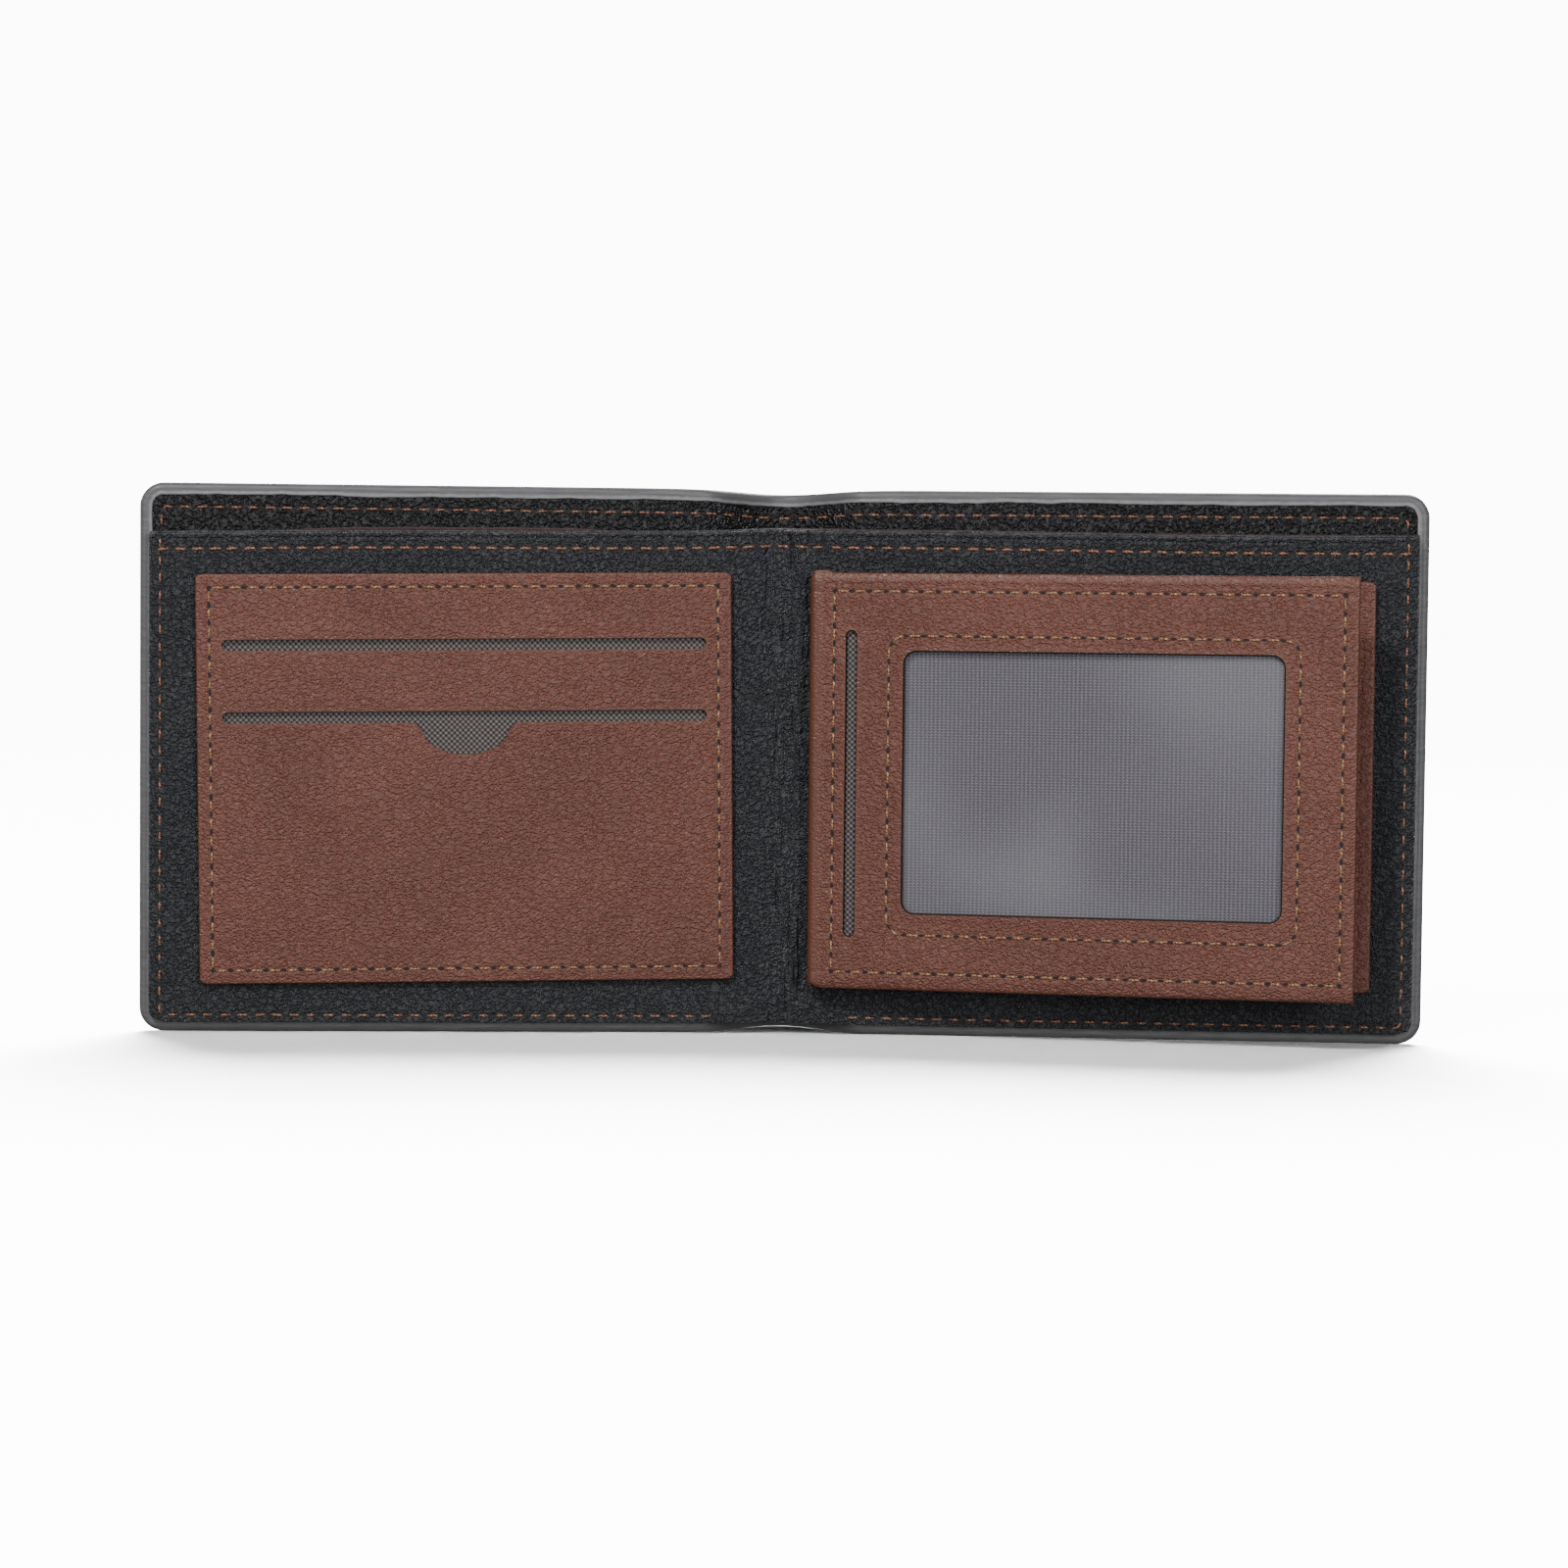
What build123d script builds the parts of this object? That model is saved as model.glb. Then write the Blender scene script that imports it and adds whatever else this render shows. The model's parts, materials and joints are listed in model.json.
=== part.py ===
"""Billfold wallet that opens like a book, with a flip-out window flap as its third leaf.

The wallet stands open on its long bottom edge. Each leaf is built flat in one working frame and
then put where it belongs. In that frame +X runs from the fold to the free edge of the right wing,
+Z is up, and "front" is the distance towards the reader, along -Y, from the face of the inner
panel. The left wing is built in the same frame and mirrored about the fold's middle plane.
All lengths are in millimetres.
"""
from build123d import *
from math import atan, cos, radians, sin
import os

# Whole wallet
height = 103.0                 # long bottom edge to top edge
wing_length = 120.3            # middle of the fold to the free edge
cover_corner = 4.5             # corner radius of the cover
fold_rest_angle = 8.0          # how far the left wing is closed from flat
flap_rest_angle = 6.5          # how far the flap stands off the right wing

# Leather and lining thicknesses
outer_leather = 0.9
interlining = 0.5
cover_lining = 0.5
bill_gap = 0.7                 # empty bill compartment, cover lining to bill lining
bill_lining = 0.4
turned_hem = 0.7
panel_leather = 0.8
pocket_mesh = 0.25
card_leather = 0.9
flap_back = 0.7
flap_mesh = 0.2
id_pocket_gap = 0.45
window_film_thickness = 0.25
flap_front = 0.9

# Painted edge of the cover
edge_width = 2.2               # band seen from inside
edge_paint = 0.5               # band seen from outside
edge_lip = 0.15                # how far the band stands above the lining

# Spine of the cover
spine_half_width = 15.0        # middle of the fold to where the cover lies flat
spine_bulge = 10.0             # how far the cover arches behind the wings

# Inner panel
panel_drop_fold = 8.2          # top of the cover to top of the inner panel, at the fold
panel_drop_left = 9.5          # the same at the left free edge
panel_drop_right = 8.3         # the same at the right free edge
hem_height = 6.5
bill_lining_rise = 0.6         # how far the bill lining stands above the hem
seam_allowance = 4.8
seam_start = 12.0              # the bottom seam stops this far from the middle of the fold
seam_break = 0.3               # thread end to the edge of the layer it stops at

# Card panels
card_outer_margin = 11.7       # left card panel to the free edge of the cover
card_top_margin = 17.1         # left card panel to the top edge of the cover
card_corner = 1.2
left_card_inset = 8.6          # middle of the fold to the panel
left_card_base = 9.2           # bottom edge of the cover to the panel
left_card_tilt = 0.8           # the left panel rises a little towards the fold
right_card_inset = 10.3
right_card_base = 9.9
slot_end_margin = 4.8          # end of a slot to the panel's side
slot_width = 2.1
slot_drops = (13.3, 26.8)      # top of the panel to the middle of each slot
notch_width = 17.0
notch_depth = 6.1
mesh_margin = 4.4              # edge of the card panel to the pocket mesh
mesh_tuck = 4.0                # how far a mesh runs up behind the leather over its slot

# Window flap
flap_inset = 5.1               # middle of the fold to the rolled edge
flap_outer_margin = 13.3       # flap to the free edge of the cover
flap_base = 9.4
flap_top_margin = 15.6         # flap to the top edge of the cover
flap_corner = 1.2
window_start = 17.9            # rolled edge to the window
window_outer_border = 13.2
window_top_border = 14.4
window_base = 14.3             # bottom of the flap to the window
window_corner = 2.5
film_border = 4.5
slit_start = 8.1               # rolled edge to the middle of the slit
slit_bottom_border = 9.8
slit_top_border = 10.7
slit_width = 2.2
edge_strip_width = 1.9
hinge_overhang = 0.45          # the rolled hinge leather is this much taller at each end
tab_tuck = 4.3                 # how far the hinge tab runs under the card panel
tab_setback = 0.4              # rolled edge to the curled end of the hinge tab

# Threads
thread_width = 0.6
thread_rise = 0.2
cover_seam_top = 4.2           # seam to the cover's edge
cover_seam_side = 3.8
cover_seam_bottom = 3.1
hem_seam_drop = 2.7
card_seam_inset = 2.5
flap_seam_hinge = 4.5
flap_seam_top = 3.2
flap_seam_side = 2.3
flap_seam_bottom = 2.9
window_seam_gap = 2.4
window_seam_gap_bottom = 3.6

# Clearances
layer_clearance = 0.2          # flap to the card panel's thread
closed_clearance = 0.1         # flap's thread to the other wing's thread when closed
end_clearance = 0.15           # between pieces that meet along the fold

# Construction
least_radius = 0.4             # smallest corner that an inset outline keeps
cut_reach = 50.0               # cutting slabs run this far past the inner panel's face
overrun = 5.0                  # half a spine layer is drawn this far past the middle plane

# Sizes that follow from the ones above
card_panel_width = wing_length - left_card_inset - card_outer_margin
card_panel_height = height - left_card_base - card_top_margin
slot_length = card_panel_width - 2 * slot_end_margin
flap_width = wing_length - flap_inset - flap_outer_margin
flap_height = height - flap_base - flap_top_margin
window_width = flap_width - window_start - window_outer_border
window_height = flap_height - window_base - window_top_border
slit_length = flap_height - slit_bottom_border - slit_top_border
tab_reach = right_card_inset + tab_tuck

# Levels in front of the inner panel's face
hem_back = -panel_leather
bill_lining_front = hem_back - turned_hem
bill_lining_back = bill_lining_front - bill_lining
lining_front = bill_lining_back - bill_gap
interlining_front = lining_front - cover_lining
leather_front = interlining_front - interlining
leather_back = leather_front - outer_leather
card_back = 2 * pocket_mesh
card_front = card_back + card_leather
flap_thickness = flap_back + flap_mesh + id_pocket_gap + window_film_thickness + flap_front
flap_level = card_front + thread_rise + layer_clearance
flap_top_level = flap_level + flap_thickness
closed_gap = flap_top_level + 2 * thread_rise + closed_clearance + card_front
fold_axis_level = closed_gap / 2
flap_axis_level = flap_level + flap_thickness / 2
roll_radius = flap_thickness / 2
flap_axis_x = flap_inset + roll_radius
panel_fold_half = radians(90) * fold_axis_level
panel_end = wing_length - edge_width

leaf = Plane(origin=(0, 0, 0), x_dir=(1, 0, 0), z_dir=(0, -1, 0))
plan = Plane(origin=(0, 0, 0), x_dir=(1, 0, 0), z_dir=(0, 0, -1))
half_rest = radians(fold_rest_angle / 2)
middle_plane = Plane(origin=(0, -fold_axis_level, 0), z_dir=(cos(half_rest), sin(half_rest), 0))


def slab(outline, back, front):
    """A flat sheet with this outline between two levels."""
    return extrude(leaf.offset(back) * outline, amount=front - back)


def rectangle(left, bottom, right, top):
    """A rectangle given by its sides."""
    return Pos((left + right) / 2, (bottom + top) / 2) * Rectangle(right - left, top - bottom)


def rounded(left, bottom, right, top, radius):
    """A rectangle given by its sides, with every corner rounded."""
    shape = RectangleRounded(right - left, top - bottom, radius)
    return Pos((left + right) / 2, (bottom + top) / 2) * shape


def cover_outline(inset, start=spine_half_width):
    """The wing's outline, square at the fold and rounded at the free corners."""
    radius = max(cover_corner - inset, least_radius)
    far = wing_length - inset
    whole = rounded(-far, inset, far, height - inset, radius)
    return whole & rectangle(start, 0, far, height)


def ring(left, bottom, right, top, radius, width):
    """A band that follows the inside of a rounded rectangle."""
    inner = rounded(left + width, bottom + width, right - width, top - width, radius)
    return rounded(left, bottom, right, top, radius + width) - inner


def sector(shape, left, bottom, right, top):
    """The stretch of a sheet that lies inside a rectangle, over every level."""
    return shape & slab(rectangle(left, bottom, right, top), -cut_reach, cut_reach)


def panel_top(x, drop_end):
    """Height of the inner panel's top edge at a place along the wing."""
    share = x / wing_length
    return height - panel_drop_fold - (drop_end - panel_drop_fold) * share


def sloped(x_start, x_end, bottom, drop_end, rise=0.0):
    """An inner layer's outline, whose top edge follows the inner panel's."""
    return Polygon(
        (x_start, bottom),
        (x_end, bottom),
        (x_end, panel_top(x_end, drop_end) + rise),
        (x_start, panel_top(x_start, drop_end) + rise),
        align=None,
    )


def hem_band(x_start, x_end, drop_end, drop, width):
    """A narrow band that runs below the inner panel's top edge."""
    low = [(x, panel_top(x, drop_end) - drop - width) for x in (x_start, x_end)]
    high = [(x, panel_top(x, drop_end) - drop) for x in (x_end, x_start)]
    return Polygon(*low, *high, align=None)


def cover_layers():
    """The cover of one wing: outer leather, interlining, lining and painted edge."""
    leather = slab(cover_outline(edge_paint), leather_back, leather_front)
    middle = slab(cover_outline(edge_width), leather_front, interlining_front)
    lining = slab(cover_outline(edge_width), interlining_front, lining_front)
    band = cover_outline(0) - cover_outline(edge_width)
    thin_band = cover_outline(0) - cover_outline(edge_paint)
    edge = slab(band, leather_front, lining_front + edge_lip)
    edge += slab(thin_band, leather_back, leather_front)
    return {
        "cover_leather": leather,
        "cover_interlining": middle,
        "cover_lining": lining,
        "cover_edge": edge,
    }


def inner_layers(drop_end):
    """The inner panel of one wing, with its hem, backing, bill lining and seam allowance."""
    start = panel_fold_half + end_clearance
    hem_base = panel_top(panel_end, drop_end) - hem_height
    panel = slab(sloped(start, panel_end, edge_width, drop_end), hem_back, 0)
    hem = slab(hem_band(start, panel_end, drop_end, 0, hem_height), bill_lining_front, hem_back)
    backing_top = min(hem_base, panel_top(start, drop_end) - hem_height) - end_clearance
    backing_outline = rectangle(start, edge_width, panel_end, backing_top)
    backing = slab(backing_outline, bill_lining_front, hem_back)
    lining_outline = sloped(start, panel_end, edge_width, drop_end, bill_lining_rise)
    lining = slab(lining_outline, bill_lining_back, bill_lining_front)
    side_top = panel_top(panel_end, drop_end)
    side = rectangle(panel_end - seam_allowance, edge_width, panel_end, side_top)
    bottom_end = panel_end - seam_allowance - end_clearance
    bottom = rectangle(seam_start, edge_width, bottom_end, edge_width + seam_allowance)
    inside = cover_outline(edge_width, 0)
    tapes = [slab(part & inside, lining_front, bill_lining_back) for part in (side, bottom)]
    return {
        "inner_panel": panel,
        "inner_hem": hem,
        "inner_backing": backing,
        "bill_lining": lining,
        "seam_tape": tapes,
    }


def cover_seam(drop_end):
    """Thread that sews the cover: over the lining at the top, over the inner panel elsewhere."""
    far = wing_length - cover_seam_side
    radius = max(cover_corner - cover_seam_side, least_radius)
    band = ring(-far, cover_seam_bottom, far, height - cover_seam_top, radius, thread_width)
    panel_edge = panel_top(wing_length, drop_end)
    upper_end = panel_edge + bill_lining_rise + seam_break
    lower_end = panel_edge - seam_break
    upper = slab(band, lining_front, lining_front + thread_rise)
    lower = slab(band, 0, thread_rise)
    upper = sector(upper, spine_half_width, upper_end, wing_length, height)
    lower = sector(lower, seam_start, 0, wing_length, lower_end)
    return [upper, lower]


def hem_seam(drop_end):
    """Thread along the inner panel's hem."""
    start = panel_fold_half + end_clearance
    end = wing_length - cover_seam_side - thread_width - end_clearance
    band = hem_band(start, end, drop_end, hem_seam_drop, thread_width)
    return slab(band, 0, thread_rise)


def card_frame(inset, base, tilt):
    """Placement of a card panel's outline: its lower corner near the fold, and its tilt."""
    return Pos(inset, base) * Rot(0, 0, tilt)


def card_outline():
    """A card panel with two card slots, the lower one with a thumb notch."""
    shape = rounded(0, 0, card_panel_width, card_panel_height, card_corner)
    middle = card_panel_width / 2
    for drop in slot_drops:
        slot = SlotOverall(slot_length, slot_width)
        shape -= Pos(middle, card_panel_height - drop) * slot
    lip = card_panel_height - slot_drops[-1] - slot_width / 2
    radius = (notch_width**2 / 4 + notch_depth**2) / (2 * notch_depth)
    notch = Pos(middle, lip - notch_depth + radius) * Circle(radius)
    notch &= rectangle(0, 0, card_panel_width, lip + slot_width / 2)
    return shape - notch


def card_pockets(frame, mesh_start):
    """Card panel, its two pocket meshes and its perimeter thread."""
    panel = slab(frame * card_outline(), card_back, card_front)
    far = card_panel_width - mesh_margin
    meshes = []
    for index, drop in enumerate(slot_drops):
        top = card_panel_height - drop + mesh_tuck
        outline = rectangle(mesh_start, mesh_margin, far, top)
        level = pocket_mesh * (len(slot_drops) - 1 - index)
        meshes.append(slab(frame * outline, level, level + pocket_mesh))
    inset = card_seam_inset
    band = ring(
        inset,
        inset,
        card_panel_width - inset,
        card_panel_height - inset,
        card_corner,
        thread_width,
    )
    thread = slab(frame * band, card_front, card_front + thread_rise)
    return {
        "card_panel": panel,
        "upper_pocket_mesh": meshes[0],
        "lower_pocket_mesh": meshes[1],
        "card_panel_thread": thread,
    }


def bend_point(offset, share, convex):
    """A point on the cover's spine: offset behind its middle surface, share of one arc's angle."""
    half_turn = atan(spine_bulge / spine_half_width)
    radius = spine_half_width / 2 / sin(2 * half_turn)
    angle = 2 * half_turn * share
    depth = -(lining_front + leather_back) / 2
    if convex:
        reach = radius + offset
        return (reach * sin(angle), depth + spine_bulge - radius + reach * cos(angle))
    reach = radius - offset
    return (spine_half_width - reach * sin(angle), depth + radius - reach * cos(angle))


def spine_profile(front_level, back_level):
    """Section of one spine layer between two levels, over the half beside the right wing."""
    middle = (lining_front + leather_back) / 2
    near, far = middle - front_level, middle - back_level
    sides = []
    for offset in (near, far):
        outer = [bend_point(offset, share, False) for share in (0, 0.5, 1)]
        inner = [bend_point(offset, share, True) for share in (1, 0.5, 0)]
        beyond = (-overrun, inner[2][1])
        sides.append((outer, inner, beyond))
    edges = []
    for outer, inner, beyond in sides:
        edges += [ThreePointArc(*outer), ThreePointArc(*inner), Line(inner[2], beyond)]
    edges.append(Line(sides[0][2], sides[1][2]))
    edges.append(Line(sides[0][0][0], sides[1][0][0]))
    return make_face(Curve() + edges)


def both_halves(shape):
    """Cuts a sheet at the fold's middle plane and joins it to its mirror image."""
    half = split(shape, bisect_by=middle_plane, keep=Keep.TOP)
    return half + mirror(half, about=middle_plane)


def spine_layer(front_level, back_level, bottom, top):
    """One layer of the cover's spine, at its full width."""
    section = Pos(0, 0, bottom) * spine_profile(front_level, back_level)
    return both_halves(extrude(section, amount=top - bottom))


def spine_pieces():
    """Every layer that bends at the fold."""
    low, high = edge_width, height - edge_width
    edge = spine_layer(lining_front + edge_lip, leather_front, 0, edge_width)
    edge += spine_layer(leather_front, leather_back, 0, edge_paint)
    upper = spine_layer(lining_front + edge_lip, leather_front, high, height)
    upper += spine_layer(leather_front, leather_back, height - edge_paint, height)
    seam_base = height - cover_seam_top - thread_width
    start, end = -overrun, panel_fold_half
    inner = slab(sloped(start, end, edge_width, panel_drop_right), hem_back, 0)
    hem = hem_band(start, end, panel_drop_right, 0, hem_height)
    seam = hem_band(start, end, panel_drop_right, hem_seam_drop, thread_width)
    rise = bill_lining_rise
    lining = sloped(start, end, edge_width, panel_drop_right, rise)
    return {
        "cover_leather_spine": spine_layer(
            leather_front, leather_back, edge_paint, height - edge_paint
        ),
        "cover_interlining_spine": spine_layer(interlining_front, leather_front, low, high),
        "cover_lining_spine": spine_layer(lining_front, interlining_front, low, high),
        "cover_edge_spine": [edge, upper],
        "cover_thread_spine": spine_layer(
            lining_front + thread_rise, lining_front, seam_base, seam_base + thread_width
        ),
        "inner_panel_fold": both_halves(inner),
        "inner_hem_fold": both_halves(slab(hem, bill_lining_front, hem_back)),
        "hem_thread_fold": both_halves(slab(seam, 0, thread_rise)),
        "bill_lining_fold": both_halves(slab(lining, bill_lining_back, bill_lining_front)),
    }


def flap_outline(margin, corner):
    """The flap's outline from its hinge axis to its free edge, less a margin."""
    right = flap_inset + flap_width - margin
    top = flap_base + flap_height - margin
    return (
        rounded(0, flap_base + margin, right, top, corner)
        & rectangle(flap_axis_x, 0, right, height)
    )


def flap_pieces():
    """The window flap, built flat against the right wing and swung to its rest angle."""
    levels = [flap_level]
    for step in (flap_back, flap_mesh, id_pocket_gap, window_film_thickness, flap_front):
        levels.append(levels[-1] + step)
    back, mesh_level, pocket_level, film_level, front_level, top_level = levels
    left, low = flap_inset, flap_base
    right, high = left + flap_width, low + flap_height
    window = (
        left + window_start,
        low + window_base,
        left + window_start + window_width,
        low + window_base + window_height,
    )
    slit_middle = low + slit_bottom_border + slit_length / 2
    slit = Rot(0, 0, 90) * SlotOverall(slit_length, slit_width)
    slit = Pos(left + slit_start, slit_middle) * slit
    front = flap_outline(0, flap_corner) - rounded(*window, window_corner) - slit
    strip = edge_strip_width
    inside = strip + end_clearance
    mesh_start = flap_axis_x + roll_radius
    border = film_border
    film = rectangle(
        window[0] - border, window[1] - border, window[2] + border, window[3] + border
    )
    strips = [
        rectangle(mesh_start, low, right - strip, low + strip),
        rectangle(mesh_start, high - strip, right - strip, high),
        rectangle(right - strip, low + flap_corner, right, high - flap_corner),
    ]
    seam = ring(
        left + flap_seam_hinge,
        low + flap_seam_bottom,
        right - flap_seam_side,
        high - flap_seam_top,
        flap_corner,
        thread_width,
    )
    gap, gap_low = window_seam_gap, window_seam_gap_bottom
    window_seam = ring(
        window[0] - gap,
        window[1] - gap_low,
        window[2] + gap,
        window[3] + gap,
        window_corner,
        thread_width,
    )
    mesh = rectangle(mesh_start, low + inside, right - inside, high - inside)
    roll = Pos(flap_axis_x, -flap_axis_level) * (
        Circle(roll_radius) - Circle(roll_radius - flap_back)
    )
    roll &= Pos(flap_axis_x - roll_radius, -flap_axis_level) * Rectangle(
        2 * roll_radius, 4 * roll_radius
    )
    roll_base = low - hinge_overhang
    roll_height = flap_height + 2 * hinge_overhang
    pieces = {
        "flap_front_leather": slab(front, front_level, top_level),
        "flap_back_leather": slab(flap_outline(0, flap_corner), back, mesh_level),
        "flap_pocket_mesh": slab(mesh, mesh_level, pocket_level),
        "flap_window_film": slab(film, film_level, front_level),
        "flap_edge_strips": [slab(part, mesh_level, front_level) for part in strips],
        "flap_thread": slab(seam, top_level, top_level + thread_rise),
        "flap_window_thread": slab(window_seam, top_level, top_level + thread_rise),
        "flap_hinge_roll": Pos(0, 0, roll_base) * extrude(roll, amount=roll_height),
    }
    swing = Rotation(0, 0, -flap_rest_angle)
    place = Pos(flap_axis_x, -flap_axis_level, 0) * swing * Pos(-flap_axis_x, flap_axis_level, 0)
    return {
        name: [place * part for part in shape] if isinstance(shape, list) else place * shape
        for name, shape in pieces.items()
    }


def hinge_tab():
    """Leather strip sewn under the right card panel that curls up to the flap's rolled edge."""
    curl = flap_level - layer_clearance
    bend_x = flap_inset + tab_setback + curl
    quarter = Pos(bend_x, curl) * (Circle(curl) - Circle(curl - card_back))
    quarter &= rectangle(bend_x - curl, 0, bend_x, curl)
    section = rectangle(bend_x, 0, tab_reach, card_back) + quarter
    return extrude(plan.offset(-flap_base) * section, amount=-flap_height)


def build_wallet():
    """Every node of the wallet in the working frame."""
    nodes = {}
    left_frame = card_frame(left_card_inset, left_card_base, 0) * Pos(card_panel_width, 0)
    left_frame = left_frame * Rot(0, 0, -left_card_tilt) * Pos(-card_panel_width, 0)
    right_frame = card_frame(right_card_inset, right_card_base, 0)
    right_mesh = tab_reach + end_clearance - right_card_inset
    sides = (
        ("left", panel_drop_left, card_pockets(left_frame, mesh_margin)),
        ("right", panel_drop_right, card_pockets(right_frame, max(right_mesh, mesh_margin))),
    )
    for side, drop_end, pockets in sides:
        wing = {**cover_layers(), **inner_layers(drop_end), **pockets}
        wing["cover_thread"] = cover_seam(drop_end)
        wing["hem_thread"] = hem_seam(drop_end)
        for name, shape in wing.items():
            parts = shape if isinstance(shape, list) else [shape]
            if side == "left":
                parts = [mirror(part, about=middle_plane) for part in parts]
            nodes[f"{name}_{side}"] = parts
    for name, shape in {**spine_pieces(), **flap_pieces(), "flap_hinge_tab": hinge_tab()}.items():
        nodes[name] = shape if isinstance(shape, list) else [shape]
    return nodes


def main():
    """Builds the wallet, centres it over its footprint and writes one file for each node."""
    nodes = build_wallet()
    solids = [solid for parts in nodes.values() for part in parts for solid in part.solids()]
    box = Compound(solids).bounding_box()
    centre_x = (box.min.X + box.max.X) / 2
    centre_y = (box.min.Y + box.max.Y) / 2
    shift = Pos(-centre_x, -centre_y, -box.min.Z)
    os.makedirs("parts", exist_ok=True)
    for name, parts in nodes.items():
        solids = [shift * solid for part in parts for solid in part.solids()]
        shape = solids[0] if len(solids) == 1 else Compound(solids)
        export_step(shape, f"parts/{name}.step")
    print("nodes", len(nodes))
    print("size", [round(v, 3) for v in (box.size.X, box.size.Y, box.size.Z)])
    print("fold axis", round(-centre_x, 4), round(-fold_axis_level - centre_y, 4))
    print("flap axis", round(flap_axis_x - centre_x, 4), round(-flap_axis_level - centre_y, 4))
    print("right cover face", round(-leather_back - centre_y, 4))
    print("hinge height", round(flap_base + flap_height / 2, 4))


main()
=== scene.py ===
"""Looks of the standing billfold: leather, painted edge, stitches, pocket mesh and window flap.

Every leather is first laid out flat, in millimetres: "along" runs from the fold to the free edge of
the right wing, "level" is the distance in front of the inner panel's face and "up" is the height.
The flat layout is then turned about the fold or about the flap's hinge, as the sewn wallet is.
"""
import json
import random
from math import cos, exp, hypot, pi, radians, sin, sqrt

import bmesh
import bpy
from mathutils import Matrix, Vector, noise


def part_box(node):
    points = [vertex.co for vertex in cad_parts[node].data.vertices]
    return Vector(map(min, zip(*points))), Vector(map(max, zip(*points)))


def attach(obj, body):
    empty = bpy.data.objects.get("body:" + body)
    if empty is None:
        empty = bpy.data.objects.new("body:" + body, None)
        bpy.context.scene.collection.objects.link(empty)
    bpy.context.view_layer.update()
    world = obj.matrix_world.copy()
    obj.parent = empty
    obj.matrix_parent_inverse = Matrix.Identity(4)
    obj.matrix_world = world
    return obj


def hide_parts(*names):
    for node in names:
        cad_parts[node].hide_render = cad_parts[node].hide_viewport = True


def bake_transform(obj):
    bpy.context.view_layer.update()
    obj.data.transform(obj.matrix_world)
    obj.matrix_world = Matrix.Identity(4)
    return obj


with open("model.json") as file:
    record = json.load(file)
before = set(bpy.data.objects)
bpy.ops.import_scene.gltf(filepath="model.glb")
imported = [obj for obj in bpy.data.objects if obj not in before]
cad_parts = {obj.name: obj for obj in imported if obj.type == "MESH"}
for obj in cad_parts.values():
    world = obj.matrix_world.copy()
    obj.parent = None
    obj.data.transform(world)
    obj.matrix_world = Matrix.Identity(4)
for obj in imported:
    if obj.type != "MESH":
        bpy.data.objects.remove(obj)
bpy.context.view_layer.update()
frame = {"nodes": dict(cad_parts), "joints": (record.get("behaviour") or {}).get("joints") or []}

MM = 0.001
random.seed(7)

# ---------------------------------------------------------------- the frame's own places
joints = {joint["name"]: joint for joint in frame["joints"]}
fold_axis = Vector(joints["wallet_fold"]["pos_m"]) / MM
hinge_axis = Vector(joints["flap_swing"]["pos_m"]) / MM
fold_rest = radians(joints["wallet_fold"]["range_deg"][1])
flap_rest = -radians(joints["flap_press"]["range_deg"][0])
face_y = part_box("inner_panel_right")[0].y / MM


def turned(point, axis, angle):
    """A point turned about an upright axis."""
    x, y = point[0] - axis.x, point[1] - axis.y
    return Vector((
        axis.x + x * cos(angle) - y * sin(angle),
        axis.y + x * sin(angle) + y * cos(angle),
        point[2],
    ))


def extent(node, axis=fold_axis, angle=0.0):
    """Lowest and highest (along, level, up) of a frame node once its leaf is laid flat."""
    flat = [turned(v.co / MM, axis, -angle) for v in frame["nodes"][node].data.vertices]
    along = [p.x - fold_axis.x for p in flat]
    level = [face_y - p.y for p in flat]
    up = [p.z for p in flat]
    return (min(along), min(level), min(up)), (max(along), max(level), max(up))


wing_length, _, height = extent("cover_edge_right")[1]
lining_low, lining_high = extent("cover_lining_right")
leather_low, leather_high = extent("cover_leather_right")
panel_low, panel_high = extent("inner_panel_right")
hem_low, hem_high = extent("inner_hem_right")
bill_low, bill_high = extent("bill_lining_right")
felt_low, felt_high = extent("cover_interlining_right")
card_low, card_high = extent("card_panel_right")
left_low, left_high = extent("card_panel_left", fold_axis, fold_rest)
flap_low, flap_high = extent("flap_front_leather", hinge_axis, -flap_rest)
back_low, back_high = extent("flap_back_leather", hinge_axis, -flap_rest)
film_low, film_high = extent("flap_window_film", hinge_axis, -flap_rest)
ribs_low, ribs_high = extent("flap_pocket_mesh", hinge_axis, -flap_rest)

# ---------------------------------------------------------------- maker's sizes, millimetres
spine_reach = 15.0             # the cover bends this far each side of the fold
panel_reach = 5.0              # and the inner panel this far
spine_bulge = 10.0             # the cover's arch behind the wings
corner = 4.5                   # corner radius of the cover
rim_width = 2.2
panel_slope = (95.0, 93.5, 94.75)      # inner panel's top: at the fold, left edge, right edge
left_tilt = radians(0.8)       # the left card panel rises towards the fold
edge_zone = 12.0               # rows keep an even distance from the edge within this
free_inside = 9.0              # edge distance of a ply with no worn outline
cover_seam_drop = 4.5          # cover's seam: below the top edge, from the sides, from the bottom
cover_seam_side = 4.1
cover_seam_rise = 3.4
seam_break = 12.0              # the bottom seam stops this far from the fold
hem_seam_drop = 3.0
hem_fold_reach = 8.0           # the hem's seam is a separate run this far each side of the fold
slot_drops = (13.3, 26.8)      # top of a card panel to the middle of each slot
slot_wide = 2.1
slot_margin = 4.8              # end of a slot to the panel's side
card_seam = 2.55
covered_card_seam = 3.5        # the right panel's outer seam, which the flap covers
mesh_margin = 4.4
mesh_tuck = 4.0                # how far a pocket mesh runs up behind its slot
roll_edge = 1.25               # hinge axis to the flap's rolled edge
flap_leather = 0.9
flap_seam_hinge = 3.55         # the flap's seam, from its hinge, side, bottom and top
flap_seam_side = 2.6
flap_seam_rise = 3.2
flap_seam_drop = 3.45
window_corner = 2.5
slit_wide = 2.2
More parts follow.
